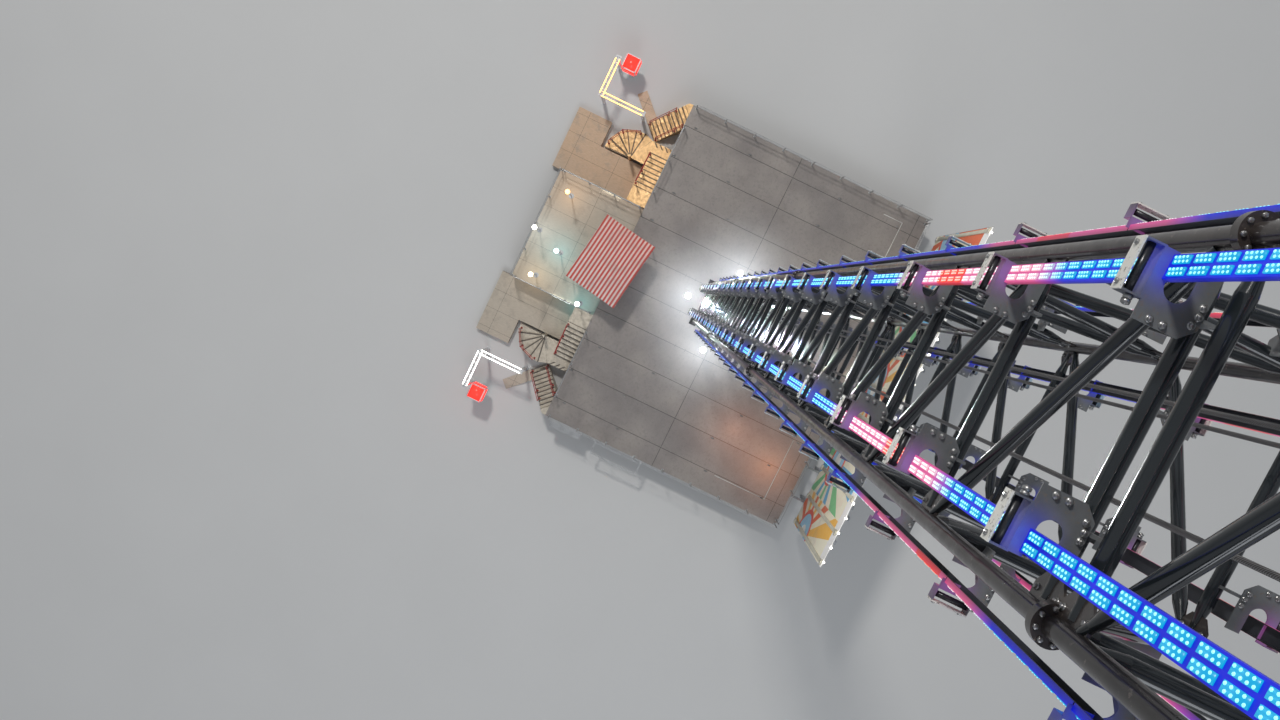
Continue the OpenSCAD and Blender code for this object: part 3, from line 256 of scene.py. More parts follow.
def bracket_material():
    """Grey plate with the strips' blue light painted on it near them, and each guard's outer front painted
    white as painted light.
    """
    n = Nodes("bracket_paint")
    x, y, z = n.xyz()
    ax, ay = n.math("ABSOLUTE", x), n.math("ABSOLUTE", y)
    out = n.math("MAXIMUM", ax, ay)
    side = n.math("MINIMUM", ax, ay)
    cloud = n.noise(7.0, 5.0)
    cloudy = n.levels(cloud, 0.35, 0.65)
    body = n.mix(cloudy, rgba((0.165, 0.175, 0.180)), rgba((0.110, 0.118, 0.124)))
    # Painted light: each guard's outer front painted white for the light falling on it
    front = n.math("GREATER_THAN", out, GUARD_FRONT)
    body = n.mix(front, body, rgba((0.74, 0.73, 0.68)))
    worn = n.levels(n.noise(60.0, 8.0, 0.7), 0.56, 0.62)
    body = n.mix(worn, body, rgba((0.16, 0.14, 0.12)))
    # Painted light: the strips' blue and pink light painted on the plate near them, as emission and as a
    # blue tint in its colour
    near = n.distance(n.math("SUBTRACT", side, LIGHT_X), n.math("SUBTRACT", out, LIGHT_FACE))
    near = n.levels(near, 0.03, 0.14, 1.0, 0.0)
    near = n.math("MULTIPLY", n.math("MULTIPLY", near, near), n.math("SUBTRACT", 1.0, front))
    pink, red = glow_bands(n)
    glow = n.mix(pink, rgba((0.01, 0.02, 0.60)), rgba((0.34, 0.07, 0.26)))
    glow = n.mix(near, rgba((0.0, 0.0, 0.0)), glow)
    body = n.mix(n.math("MULTIPLY", near, 0.45), body, rgba((0.05, 0.06, 0.40)))
    return n.done(body, n.levels(cloud, 0.3, 0.7, 0.35, 0.55), n.bump(n.noise(160.0), 0.12, 0.001),
                  Metallic=0.15, Emission_Color=glow, Emission_Strength=0.40)


def rope_material():
    n = Nodes("rope_steel")
    strand = n.add("TexWave", {"bands_direction": "DIAGONAL"}, Vector=n.at, Scale=60.0,
                   Distortion=0.4).outputs["Fac"]
    body = n.mix(strand, rgba((0.10, 0.09, 0.08)), rgba((0.34, 0.34, 0.35)))
    rough = n.levels(strand, 0, 1, 0.55, 0.35)
    return n.done(body, rough, n.bump(strand, 0.8, 0.002), Metallic=0.8)


def rubber_material():
    n = Nodes("roller_rubber")
    dust = n.levels(n.noise(40.0, 6.0), 0.45, 0.75)
    body = n.mix(dust, rgba((0.018, 0.018, 0.020)), rgba((0.09, 0.085, 0.08)))
    return n.done(body, 0.62, n.bump(n.noise(220.0, 3.0), 0.2, 0.001))


def seat_material():
    n = Nodes("seat_shell")
    cloud = n.noise(6.0, 3.0)
    body = n.mix(cloud, rgba((0.52, 0.05, 0.04)), rgba((0.40, 0.035, 0.03)))
    return n.done(body, n.levels(n.noise(30.0, 4.0), 0.3, 0.7, 0.22, 0.36),
                  n.bump(n.noise(320.0, 2.0), 0.12, 0.0006), Coat_Weight=0.3)


def spill(n, lamps, far):
    """Light that lamps (x, y, colour) throw on the floor round them, fading out at the distance far."""
    x, y, z = n.xyz()
    up = n.upward()
    total = rgba((0.0, 0.0, 0.0))
    for lx, ly, color in lamps:
        d = n.distance(n.math("SUBTRACT", x, lx), n.math("SUBTRACT", y, ly))
        near = n.levels(d, 0.0, far, 1.0, 0.0)
        near = n.math("MULTIPLY", n.math("MULTIPLY", near, near), n.math("MULTIPLY", near, up))
        add = n.add("Mix", {"data_type": "RGBA", "blend_type": "ADD"})
        n.put(add.inputs[0], near)
        n.put(add.inputs[6], total)
        n.put(add.inputs[7], rgba(color))
        total = add.outputs[2]
    return total


def deck_material():
    """Worn chequer plate: tear-shaped studs, plate seams and dirt."""
    n = Nodes("deck_plate")
    x, y, z = n.xyz()
    cloud = n.noise(0.9, 6.0, 0.6)
    fine = n.noise(14.0, 6.0, 0.65)
    body = n.mix(n.levels(cloud, 0.35, 0.65), rgba((0.36, 0.32, 0.29)), rgba((0.27, 0.24, 0.22)))
    body = n.mix(n.levels(fine, 0.5, 0.72, 0.0, 0.5), body, rgba((0.17, 0.155, 0.145)))
    wet = n.levels(n.noise(0.45, 2.0), 0.52, 0.66)
    body = n.mix(n.math("MULTIPLY", wet, 0.22), body, rgba((0.16, 0.15, 0.16)))
    across = n.math("ABSOLUTE", x)
    seam = n.math("MAXIMUM", n.line(across, 0.94, 0.014, 0.483), n.line(y, 3.675, 0.014, 0.143))
    body = n.mix(seam, body, rgba((0.035, 0.032, 0.032)))
    tone = n.math("FLOOR", n.math("DIVIDE", n.math("SUBTRACT", x, 0.49), 0.94))
    tone = n.math("FRACT", n.math("MULTIPLY", n.math("SINE", n.math("MULTIPLY", tone, 12.9)), 43.7))
    body = n.mix(n.math("MULTIPLY", tone, 0.22), body, rgba((0.16, 0.15, 0.15)))
    waves = [n.add("TexWave", {"bands_direction": "DIAGONAL"}, Vector=n.scaled((m, 1, 0)),
                   Scale=22.0).outputs["Fac"] for m in (1, -1)]
    studs = n.levels(n.math("MULTIPLY", *waves), 0.45, 0.75)
    body = n.mix(n.math("MULTIPLY", studs, 0.30), body, rgba((0.55, 0.50, 0.46)))
    rough = n.levels(n.noise(2.5, 5.0), 0.35, 0.65, 0.30, 0.55)
    normal = n.bump(n.math("SUBTRACT", 1.0, seam), 0.6, 0.003, n.bump(studs, 0.5, 0.003))
    # Painted light: white light round the floodlights, and a warm orange light near the rear right corner
    lamps = [(lx, ly, (0.9, 0.95, 1.0)) for lx, ly in FLOODS]
    lamps += [(3.4, 3.2, (0.42, 0.14, 0.05)), (2.9, 1.8, (0.26, 0.08, 0.03))]
    glow = spill(n, lamps, 2.4)
    return n.done(body, rough, normal, Metallic=0.2, Emission_Color=glow, Emission_Strength=0.75)


def board_material():
    """Coated plywood floor with boards' seams and scuffs."""
    n = Nodes("platform_board")
    x, y, z = n.xyz()
    grain = n.noise(9.0, 8.0, 0.65, n.scaled((14.0, 1.0, 1.0)))
    # Painted light: the boards on the left side take an orange tint for the orange lamp light on them
    left = n.levels(x, -2.2, -1.2, 1.0, 0.0)
    pale = n.mix(left, rgba((0.58, 0.51, 0.42)), rgba((0.66, 0.47, 0.32)))
    dull = n.mix(left, rgba((0.46, 0.40, 0.32)), rgba((0.52, 0.35, 0.22)))
    body = n.mix(n.levels(grain, 0.35, 0.68), pale, dull)
    scuff = n.levels(n.noise(3.0, 8.0, 0.7), 0.54, 0.68, 0.0, 0.5)
    body = n.mix(scuff, body, rgba((0.32, 0.27, 0.22)))
    seam = n.math("MAXIMUM", n.line(x, 0.56, 0.006, -1.68), n.line(y, 1.30, 0.006, -5.84))
    body = n.mix(seam, body, rgba((0.08, 0.06, 0.05)))
    # Painted light: each globe lamp's light painted on the boards round it, as emission
    lamps = [(lx, ly, [c * 0.30 for c in thrown]) for (lx, ly), color, power, thrown in GLOBES.values()]
    glow = spill(n, lamps, 1.5)
    return n.done(body, n.levels(n.noise(7.0), 0.3, 0.7, 0.40, 0.62),
                  n.bump(n.math("SUBTRACT", grain, seam), 0.25, 0.0015),
                  Emission_Color=glow, Emission_Strength=1.0)


def tread_material():
    """Ribbed aluminium treads; risers and skirts take the same sheet."""
    n = Nodes("tread_plate")
    x, y, z = n.xyz()
    rib = n.math("SINE", n.math("MULTIPLY", n.math("ADD", x, y), 520.0))
    fine = n.noise(10.0, 6.0, 0.65)
    # Painted light: the treads on the left side take an orange tint for the orange lamp light on them
    left = n.levels(x, -0.5, 0.5, 1.0, 0.0)
    pale = n.mix(left, rgba((0.55, 0.49, 0.40)), rgba((0.74, 0.47, 0.22)))
    dull = n.mix(left, rgba((0.40, 0.35, 0.28)), rgba((0.50, 0.30, 0.14)))
    body = n.mix(n.levels(fine, 0.4, 0.7), pale, dull)
    body = n.mix(n.levels(rib, -0.2, 1.0, 0.0, 0.18), body, pale)
    # Dark strips along the nosings of the winding steps, the flight along the deck and the slanted
    # flight
    across = n.math("ABSOLUTE", x)
    dx, dy = n.math("SUBTRACT", across, NEWEL[0]), n.math("SUBTRACT", y, NEWEL[1])
    far = n.distance(dx, dy)
    turn = n.math("DEGREES", n.math("ARCTAN2", dy, dx))
    wind = n.math("MULTIPLY", n.within(turn, -92.0, 29.0), n.math("LESS_THAN", far, 0.82))
    past = n.math("MODULO", n.math("ADD", turn, 91.5), 20.0)
    edge = n.math("LESS_THAN", n.math("MULTIPLY", past, far), 2.2)
    strip = n.math("MULTIPLY", wind, edge)
    flight = n.math("MULTIPLY", n.within(across, 2.13, 3.21), n.math("GREATER_THAN", y, -3.80))
    past = n.math("MODULO", n.math("SUBTRACT", 3.2063, across), 0.132)
    strip = n.math("MAXIMUM", strip, n.math("MULTIPLY", flight, n.math("LESS_THAN", past, 0.036)))
    run = n.math("ADD", n.math("SUBTRACT", across, 4.56), n.math("ADD", y, 3.24))
    run = n.math("MULTIPLY", run, 0.70711)
    slant = n.math("MULTIPLY", n.within(run, -1.14, 0.0), n.math("GREATER_THAN", across, 3.40))
    past = n.math("MODULO", n.math("ADD", run, 1.136), 0.113)
    strip = n.math("MAXIMUM", strip, n.math("MULTIPLY", slant, n.math("LESS_THAN", past, 0.034)))
    strip = n.math("MULTIPLY", strip, n.upward())
    body = n.mix(n.math("MULTIPLY", strip, 0.85), body, rgba((0.05, 0.04, 0.035)))
    return n.done(body, n.levels(fine, 0.3, 0.7, 0.30, 0.50), n.bump(rib, 0.5, 0.001), Metallic=0.5)


def foam_material():
    n = Nodes("restraint_foam")
    skin = n.noise(260.0, 2.0)
    body = n.mix(n.noise(12.0, 4.0), rgba((0.030, 0.030, 0.034)), rgba((0.055, 0.055, 0.060)))
    return n.done(body, n.levels(n.noise(20.0), 0.3, 0.7, 0.42, 0.6), n.bump(skin, 0.35, 0.0008))


def awning_material():
    """Red and white stripes across the awning, redder towards its left end, in a plain weave."""
    n = Nodes("awning_cloth")
    uv = n.coords.outputs["UV"]
    u, v, w = n.xyz(uv)
    stripe = n.math("SINE", n.math("MULTIPLY", v, 2 * math.pi * STRIPES))
    stripe = n.math("GREATER_THAN", stripe, -0.05)
    white = n.mix(n.levels(u, 0.0, 1.0), rgba((0.80, 0.56, 0.50)), rgba((0.76, 0.66, 0.62)))
    body = n.mix(stripe, white, rgba((0.60, 0.085, 0.065)))
    weave = n.math("MULTIPLY", n.math("SINE", n.math("MULTIPLY", n.xyz()[0], 2600.0)),
                   n.math("SINE", n.math("MULTIPLY", n.xyz()[1], 2600.0)))
    dirt = n.levels(n.noise(3.0, 6.0), 0.45, 0.75, 0.0, 0.35)
    body = n.mix(dirt, body, rgba((0.32, 0.22, 0.20)))
    return n.done(body, 0.72, n.bump(weave, 0.15, 0.0008), Sheen_Weight=0.2)


def backdrop_material():
    """Painted panels with a plain fan of rays and rings in fairground colours, and painted light glowing on
    the front, stronger towards the top; the back is plain.
    """
    n = Nodes("backdrop_panel")
    x, y, z = n.xyz()
    along = n.math("ADD", x, 30.0 * FAN + FAN / 2)
    cx = n.math("SUBTRACT", n.math("MODULO", along, FAN), FAN / 2)
    cz = n.math("SUBTRACT", z, FAN_Z)
    ang = n.math("ARCTAN2", cz, cx)
    ray = n.math("GREATER_THAN", n.math("SINE", n.math("MULTIPLY", ang, 14.0)), 0.0)
    other = n.math("GREATER_THAN", n.math("SINE", n.math("MULTIPLY", ang, 7.0)), 0.0)
    odd = n.math("MODULO", n.math("FLOOR", n.math("DIVIDE", along, FAN)), 2.0)
    rad = n.distance(cx, cz)
    first = n.mix(other, rgba((0.80, 0.16, 0.06)), rgba((0.90, 0.50, 0.10)))
    second = n.mix(other, rgba((0.12, 0.42, 0.66)), rgba((0.20, 0.56, 0.26)))
    body = n.mix(ray, rgba((0.88, 0.82, 0.64)), n.mix(odd, first, second))
    body = n.mix(n.within(rad, 0.0, 0.75), body, rgba((0.80, 0.12, 0.08)))
    body = n.mix(n.within(rad, 0.0, 0.62), body, rgba((0.35, 0.62, 0.80)))
    body = n.mix(n.within(rad, 0.0, 0.30), body, rgba((0.88, 0.86, 0.80)))
    top = n.math("GREATER_THAN", z, 4.9)
    body = n.mix(top, body, rgba((0.86, 0.85, 0.82)))
    seam = n.line(x, PANEL, 0.008, WALL_LEFT)
    body = n.mix(seam, body, rgba((0.10, 0.09, 0.08)))
    back = n.math("GREATER_THAN", y, WALL_BACK)
    cloud = n.levels(n.noise(2.0, 3.0), 0.35, 0.65)
    sheet = n.mix(cloud, rgba((0.50, 0.50, 0.49)), rgba((0.45, 0.45, 0.44)))
    body = n.mix(back, body, n.mix(seam, sheet, rgba((0.10, 0.09, 0.08))))
    dirt = n.levels(n.noise(1.4, 8.0, 0.65), 0.5, 0.75, 0.0, 0.4)
    dirt = n.math("MULTIPLY", dirt, n.levels(back, 0.0, 1.0, 1.0, 0.4))
    body = n.mix(dirt, body, rgba((0.30, 0.26, 0.22)))
    # Painted light: the front glows in its own colours, more strongly towards the top
    lit = n.math("MULTIPLY", n.levels(z, 2.5, 5.3, 0.0, 0.30), n.math("SUBTRACT", 1.0, back))
    rough = n.levels(n.noise(9.0), 0.3, 0.7, 0.3, 0.5)
    return n.done(body, rough, n.bump(seam, 0.4, 0.002), Emission_Color=body, Emission_Strength=lit)


def glow_bands(n):
    """The show's colours along the strips: 1 where pink, and 1 where orange-red, by height."""
    x, y, z = n.xyz()
    pink = n.levels(z, 22.75, 23.05)
    pink = n.math("MULTIPLY", pink, n.math("SUBTRACT", 1.0, n.levels(z, 24.75, 25.0)))
    red = n.math("MULTIPLY", n.within(z, 24.06, 24.40), n.math("GREATER_THAN", x, 0.0))
    red2 = n.math("MULTIPLY", n.within(z, 23.60, 23.95), n.math("LESS_THAN", x, 0.0))
    return pink, n.math("MAXIMUM", red, red2)


def housing_material():
    """White sheet with the LEDs' deep blue light painted on it as glow and colour, with pink and orange
    stretches; its back is dark.
    """
    n = Nodes("light_housing")
    pink, red = glow_bands(n)
    x, y, z = n.xyz()
    ax, ay = n.math("ABSOLUTE", x), n.math("ABSOLUTE", y)
    out = n.math("MAXIMUM", ax, ay)
    off = n.math("ABSOLUTE", n.math("SUBTRACT", n.math("MINIMUM", ax, ay), LIGHT_X))
    # Painted light: the LEDs' light painted on the sheet's face, and fading up its lips
    face = n.math("GREATER_THAN", out, LIGHT_FACE - 0.001)
    lip = n.math("MULTIPLY", n.math("GREATER_THAN", off, 0.0345),
                 n.levels(out, LIGHT_FACE - 0.030, LIGHT_FACE, 0.25, 0.9))
    lit = n.math("MAXIMUM", face, lip)
    vary = n.noise(7.0, 3.0)
    blue = n.mix(n.levels(vary, 0.3, 0.7), rgba((0.0, 0.004, 0.46)), rgba((0.002, 0.010, 0.66)))
    glow = n.mix(pink, blue, rgba((0.70, 0.09, 0.22)))
    glow = n.mix(red, glow, rgba((0.75, 0.03, 0.01)))
    glow = n.mix(lit, rgba((0.0, 0.0, 0.0)), glow)
    # Painted light: the sheet's lit side takes a deep blue colour for the LEDs' light on it
    skin = n.mix(n.levels(n.noise(30.0, 6.0), 0.5, 0.75, 0.0, 0.5), rgba((0.008, 0.012, 0.16)),
                 rgba((0.006, 0.010, 0.10)))
    back = n.mix(n.noise(20.0, 4.0), rgba((0.060, 0.064, 0.075)), rgba((0.035, 0.038, 0.048)))
    return n.done(n.mix(lit, back, skin), 0.38, n.bump(n.noise(200.0), 0.08, 0.0006),
                  Emission_Color=glow, Emission_Strength=1.0)


def led_material(name, power):
    n = Nodes(name)
    pink, red = glow_bands(n)
    glow = n.mix(pink, rgba((0.30, 0.95, 1.0)), rgba((1.0, 0.92, 0.95)))
    glow = n.mix(red, glow, rgba((1.0, 0.50, 0.36)))
    flick = n.levels(n.noise(40.0, 1.0), 0.3, 0.7, 0.82, 1.0)
    glow = n.mix(flick, rgba((0.05, 0.5, 0.8)), glow)
    return n.done(rgba((0.20, 0.26, 0.28)), 0.2, None, Emission_Color=glow, Emission_Strength=power)


def led_board_material():
    """The clear cover over each cluster, lit cyan from inside."""
    n = Nodes("led_board")
    pink, red = glow_bands(n)
    glow = n.mix(pink, rgba((0.003, 0.40, 0.74)), rgba((1.0, 0.56, 0.64)))
    glow = n.mix(red, glow, rgba((1.0, 0.10, 0.04)))
    body = n.mix(n.noise(60.0, 3.0), rgba((0.01, 0.05, 0.08)), rgba((0.01, 0.035, 0.06)))
    return n.done(body, 0.25, n.bump(n.noise(300.0), 0.1, 0.0005), Emission_Color=glow,
                  Emission_Strength=0.95)


def glow_material(name, color, power, cloud=0.15):
    n = Nodes(name)
    v = n.levels(n.noise(12.0, 2.0), 0.3, 0.7, 1.0 - cloud, 1.0)
    c = n.mix(v, rgba([k * 0.6 for k in color]), rgba(color))
    return n.done(rgba(color), 0.25, n.bump(n.noise(150.0), 0.05, 0.0005),
                  Emission_Color=c, Emission_Strength=power)


MATS.update({
    "bracket_paint": bracket_material(),
    "rope_steel": rope_material(),
    "roller_rubber": rubber_material(),
    "seat_shell": seat_material(),
    "deck_plate": deck_material(),
    "platform_board": board_material(),
    "tread_plate": tread_material(),
    "restraint_foam": foam_material(),
    "awning_cloth": awning_material(),
    "backdrop_panel": backdrop_material(),
    "light_housing": housing_material(),
})

for name, o in NODES.items():
    o.data.materials.clear()
    o.data.materials.append(MATS[SLOT_OF[name]])


# Mesh helpers

def mesh_piece(name, parts, mats, smooth=False):
    """parts: list of (verts (n,3), quads (m,4), matrices (k,4,4), material index)."""
    cos, quads, idx, base = [], [], [], 0
    for verts, faces, places, mi in parts:
        v = np.c_[np.asarray(verts, float), np.ones(len(verts))]
        f = np.asarray(faces, int)
        p = np.asarray(places, float)
        w = np.einsum("kij,nj->kni", p, v)[:, :, :3].reshape(-1, 3)
        q = (f[None] + (np.arange(len(p)) * len(v))[:, None, None]).reshape(-1, 4) + base
        cos.append(w)
        quads.append(q)
        idx.append(np.full(len(q), mi))
        base += len(w)
    cos, quads, idx = np.concatenate(cos), np.concatenate(quads), np.concatenate(idx)
    me = bpy.data.meshes.new(name)
    me.vertices.add(len(cos))
    me.vertices.foreach_set("co", cos.astype(np.float32).ravel())
    me.loops.add(len(quads) * 4)
    me.loops.foreach_set("vertex_index", quads.astype(np.int32).ravel())
    me.polygons.add(len(quads))
    me.polygons.foreach_set("loop_start", np.arange(0, len(quads) * 4, 4, dtype=np.int32))
    me.polygons.foreach_set("material_index", idx.astype(np.int32))
    if smooth:
        me.polygons.foreach_set("use_smooth", np.ones(len(quads), bool))
    me.update(calc_edges=True)
    me.validate()
    for m in mats:
        me.materials.append(m)
    o = bpy.data.objects.new(name, me)
    scene.collection.objects.link(o)
    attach(o, "root")
    return o


def box_form(x0, x1, y0, y1, z0, z1):
    v = [(x, y, z) for z in (z0, z1) for y in (y0, y1) for x in (x0, x1)]
    f = [(0, 2, 3, 1), (4, 5, 7, 6), (0, 1, 5, 4), (2, 6, 7, 3), (0, 4, 6, 2), (1, 3, 7, 5)]
    return v, f


def round_form(sides, rings):
    """Stacked rings of (radius, height) round +Z, closed on top; sides is even."""
    v, f = [], []
    for r, h in rings:
        v += [(r * math.cos(2 * math.pi * i / sides), r * math.sin(2 * math.pi * i / sides), h)
              for i in range(sides)]
    for k in range(len(rings) - 1):
        for i in range(sides):
            j = (i + 1) % sides
            f.append((k * sides + i, k * sides + j, (k + 1) * sides + j, (k + 1) * sides + i))
    t = (len(rings) - 1) * sides
    for i in range(1, sides - 2, 2):
        f.append((t, t + i, t + i + 1, t + i + 2))
    return v, f


def move(x, y, z):
    return Matrix.Translation((x, y, z))


def spin(a, axis="Z"):
    return Matrix.Rotation(math.radians(a), 4, axis)


OUT = spin(90, "X")  # turns +Z into -Y, out of the front side
TURN = [spin(90 * k) for k in range(4)]


# Lamp clusters on the strips

cluster = box_form(-0.0115, 0.0115, -0.0385, 0.0385, 0.0, 0.005)
led_round = round_form(6, [(0.0042, 0.004), (0.0038, 0.0066), (0.0020, 0.0080)])
led_plain = box_form(-0.0036, 0.0036, -0.0036, 0.0036, 0.004, 0.0076)
# The underside of a plain lamp is never seen
led_plain = (led_plain[0], led_plain[1][1:])
LED_AT = [(s * 0.0065, (j - 1.5) * 0.0185 + s * 0.0040) for s in (-1, 1) for j in range(4)]
led_mat = led_material("led_glow", 1.25)
board_mat = led_board_material()

for k, side in enumerate(SIDES):
    for m in (-1, 1):
        boards, near, far = [], [], []
        for z0, z1 in zip(BRACKETS, BRACKETS[1:]):
            lo, hi = z0 + 0.012, z1 - 0.012
            count = round((hi - lo) / 0.102)
            pitch = (hi - lo) / count
            for i in range(count):
                z = lo + (i + 0.5) * pitch
                for row in (-1, 1):
                    at = TURN[k] @ move(m * LIGHT_X + row * 0.01725, -LIGHT_FACE, z) @ OUT
                    boards.append(at)
                    for lx, lz in LED_AT:
                        (near if z > 22.5 and k in (0, 1) else far).append(at @ move(lx, lz, 0))
        parts = [(*cluster, boards, 0), (*led_plain, far, 1)]
        if near:
            parts.append((*led_round, near, 1))
        mesh_piece("leds_%s_%s" % (side, "ab"[m > 0]), parts, [board_mat, led_mat])


# Bolts, nuts and rods on the mast

bolt = round_form(6, [(0.0085, 0.0), (0.0085, 0.007), (0.0072, 0.0082)])
washer = round_form(8, [(0.0120, 0.0), (0.0120, 0.003)])
stud = round_form(6, [(0.0055, 0.0), (0.0055, 0.030)])
rod = round_form(12, [(0.0, 0.0), (0.013, 0.0), (0.013, 0.143), (0.0, 0.143)])
knob = round_form(8, [(0.009, 0.0), (0.014, 0.002), (0.014, 0.012), (0.009, 0.014)])
ZINC = steel("zinc_bolts", (0.46, 0.46, 0.45), (0.28, 0.28, 0.28), (0.24, 0.40), (1, 1, 1))
DARK = paint("dark_fitting", (0.035, 0.036, 0.040), (0.02, 0.02, 0.024), (0.16, 0.16, 0.16),
             (0.2, 0.4), 0.3)
PLATE_BOLTS = ((0.058, 0.136), (0.085, 0.136), (0.112, 0.128), (0.144, 0.020), (0.144, 0.060))
FLANGE_R, FLANGE_T, FLANGE_DOWN = 0.051, 0.018, 0.09

ALONG_X = spin(90, "Y")  # turns +Z into +X
for k, side in enumerate(SIDES):
    bolts, washers, studs, rods, knobs = [], [], [], [], []
    for z in BRACKETS:
        for m in (-1, 1):
            # Bracket frame: +X to the middle of the side, +Y into the mast
            b = TURN[k] @ move(m * LIGHT_X, -LIGHT_FACE, z) @ Matrix.Diagonal((-m, 1, 1, 1))
            for x, y in PLATE_BOLTS:
                bolts.append(b @ move(x, y, 0.006))
                washers.append(b @ move(x, y, 0.003))
            rods.append(b @ move(-0.044, -0.057, -0.022) @ ALONG_X)
            # A stud with two nuts out of the guard's inner end
            studs.append(b @ move(0.105, -0.050, -0.016) @ ALONG_X)
            for x in (0.105, 0.119):
                knobs.append(b @ move(x, -0.050, -0.016) @ ALONG_X)
            bolts.append(b @ move(-0.030, -0.090, -0.023) @ OUT)
            bolts.append(b @ move(0.085, -0.090, -0.023) @ OUT)
    parts = [(*bolt, bolts, 0), (*washer, washers, 0), (*stud, studs, 0), (*knob, knobs, 0),
             (*rod, rods, 1)]
    mesh_piece("bracket_bolts_" + side, parts, [ZINC, DARK])

bolts, washers = [], []
for i, (cx, cy) in enumerate(((-1, -1), (1, -1), (1, 1), (-1, 1))):
    chord = move(cx * HALF, cy * HALF, 0) @ spin(90 * i)
    for z in LEVELS:
        for a in (0, 90):
            # Two bolts through each gusset, from both faces
            g = chord @ (spin(90) @ Matrix.Diagonal((1, -1, 1, 1)) if a else Matrix.Identity(4))
            for x, dz in ((0.062, 0.068), (0.062, -0.068)):
                for face in (-1, 1):
                    at = g @ move(x, face * 0.005, z + dz) @ spin(-90 * face, "X")
                    bolts.append(at @ move(0, 0, 0.003))
                    washers.append(at)
    for s, (z0, count) in enumerate(SECTIONS):
        if s == 0:
            continue
        for j in range(8):
            at = chord @ spin(45 * j + 22.5) @ move(FLANGE_R, 0, z0 - FLANGE_DOWN)
            bolts.append(at @ move(0, 0, FLANGE_T))
            bolts.append(at @ move(0, 0, -FLANGE_T) @ spin(180, "X"))
mesh_piece("mast_bolts", [(*bolt, bolts, 0), (*washer, washers, 0)], [ZINC])

# Lamps


def ball(radius, rings, up=0.0):
    """Rings of a ball whose middle is at the height up."""
    steps = [math.pi * i / rings for i in range(1, rings + 1)]
    return [(radius * math.sin(a), up - radius * math.cos(a)) for a in steps]


globe = round_form(24, ball(GLOBE_R, 14))
for name, ((x, y), color, power, thrown) in GLOBES.items():
    mesh_piece("globe_" + name, [(*globe, [move(x, y, GLOBE_Z)], 0)],
               [glow_material("globe_" + name, color, power)], smooth=True)

lens = round_form(24, [(0.074, 0.0), (0.074, 0.004), (0.060, 0.010), (0.030, 0.014), (0.0, 0.015)])
LENS_UP = 0.1765
mesh_piece("flood_lenses", [(*lens, [move(x, y, DECK_Z + LENS_UP) for x, y in FLOODS], 0)],
           [glow_material("flood_glow", (0.95, 0.99, 1.0), 140.0, 0.05)], smooth=True)

# Light bars on the gates: white on the right side, orange on the left
tube = round_form(8, [(0.011, 0.0), (0.015, 0.004), (0.015, 0.186), (0.011, 0.190)])
GATE = [(3.96, -4.3885), (3.96, -5.64), (5.02, -5.64)]
BAR_Z, BAR_PITCH, BAR_OUT = 1.338, 0.2, 0.057
BARS = {1: ((0.98, 0.97, 0.90), 5.0), -1: ((1.0, 0.48, 0.12), 4.0)}
for m, (color, power) in BARS.items():
    places = []
    for (x0, y0), (x1, y1) in zip(GATE, GATE[1:]):
        run = Vector((x1 - x0, y1 - y0, 0))
        turn = run.to_track_quat("Z", "Y").to_matrix().to_4x4()
        side = Vector((-run.y, run.x, 0)).normalized()
        count = int(run.length / BAR_PITCH)
        for j in range(count):
            for w in (-BAR_OUT, BAR_OUT):
                at = Vector((x0, y0, 0)) + run * (j / count) + side * w
                places.append(Matrix.Diagonal((m, 1, 1, 1)) @ move(at.x, at.y, BAR_Z) @ turn)
    glow = glow_material("gate_" + ("white" if m > 0 else "orange"), color, power)
    mesh_piece("gate_lights_" + ("right" if m > 0 else "left"), [(*tube, places, 0)], [glow],
               smooth=True)

# Red panes on the top and the sides of each lamp cube
cube_w, pane, cube_foot = 0.44, 0.375, 0.519
pane_form = box_form(-pane / 2, pane / 2, -pane / 2, pane / 2, 0.0, 0.006)
panes = []
for m in (-1, 1):
    c = move(m * (GATE[2][0] + 0.11), GATE[2][1] + 0.075 + cube_w / 2 + 0.04, cube_foot + cube_w / 2)
    for turn in (Matrix.Identity(4), spin(90, "X"), spin(-90, "X"), spin(90, "Y"), spin(-90, "Y")):
        panes.append(c @ turn @ move(0, 0, cube_w / 2))
mesh_piece("cube_panes", [(*pane_form, panes, 0)],
           [glow_material("cube_red", (1.0, 0.03, 0.02), 1.6)])

# White light rails along the platform's sides
rail_at = []
for m in (-1, 1):
    for j in range(3):
        rail_at.append(move(m * 1.665, -4.55 + 0.2 * j, PLATFORM_Z + 0.018) @ spin(-90, "X"))
mesh_piece("platform_lights", [(*tube, rail_at, 0)],
           [glow_material("rail_white", (0.9, 1.0, 0.96), 5.0)], smooth=True)

# Lamps along the top of the backdrop, each on a small socket
bulb = round_form(16, ball(0.030, 10, 0.048))
socket = round_form(12, [(0.020, 0.0), (0.022, 0.010), (0.016, 0.026)])
TOP_LAMPS = [move(-4.4 + 0.4 * j, 4.575, 5.3) for j in range(23)]
mesh_piece("backdrop_lamps", [(*bulb, TOP_LAMPS, 0), (*socket, TOP_LAMPS, 1)],
           [glow_material("bulb_white", (1.0, 0.96, 0.86), 7.0), MATS["lamp_body"]], smooth=True)

# Deck fittings

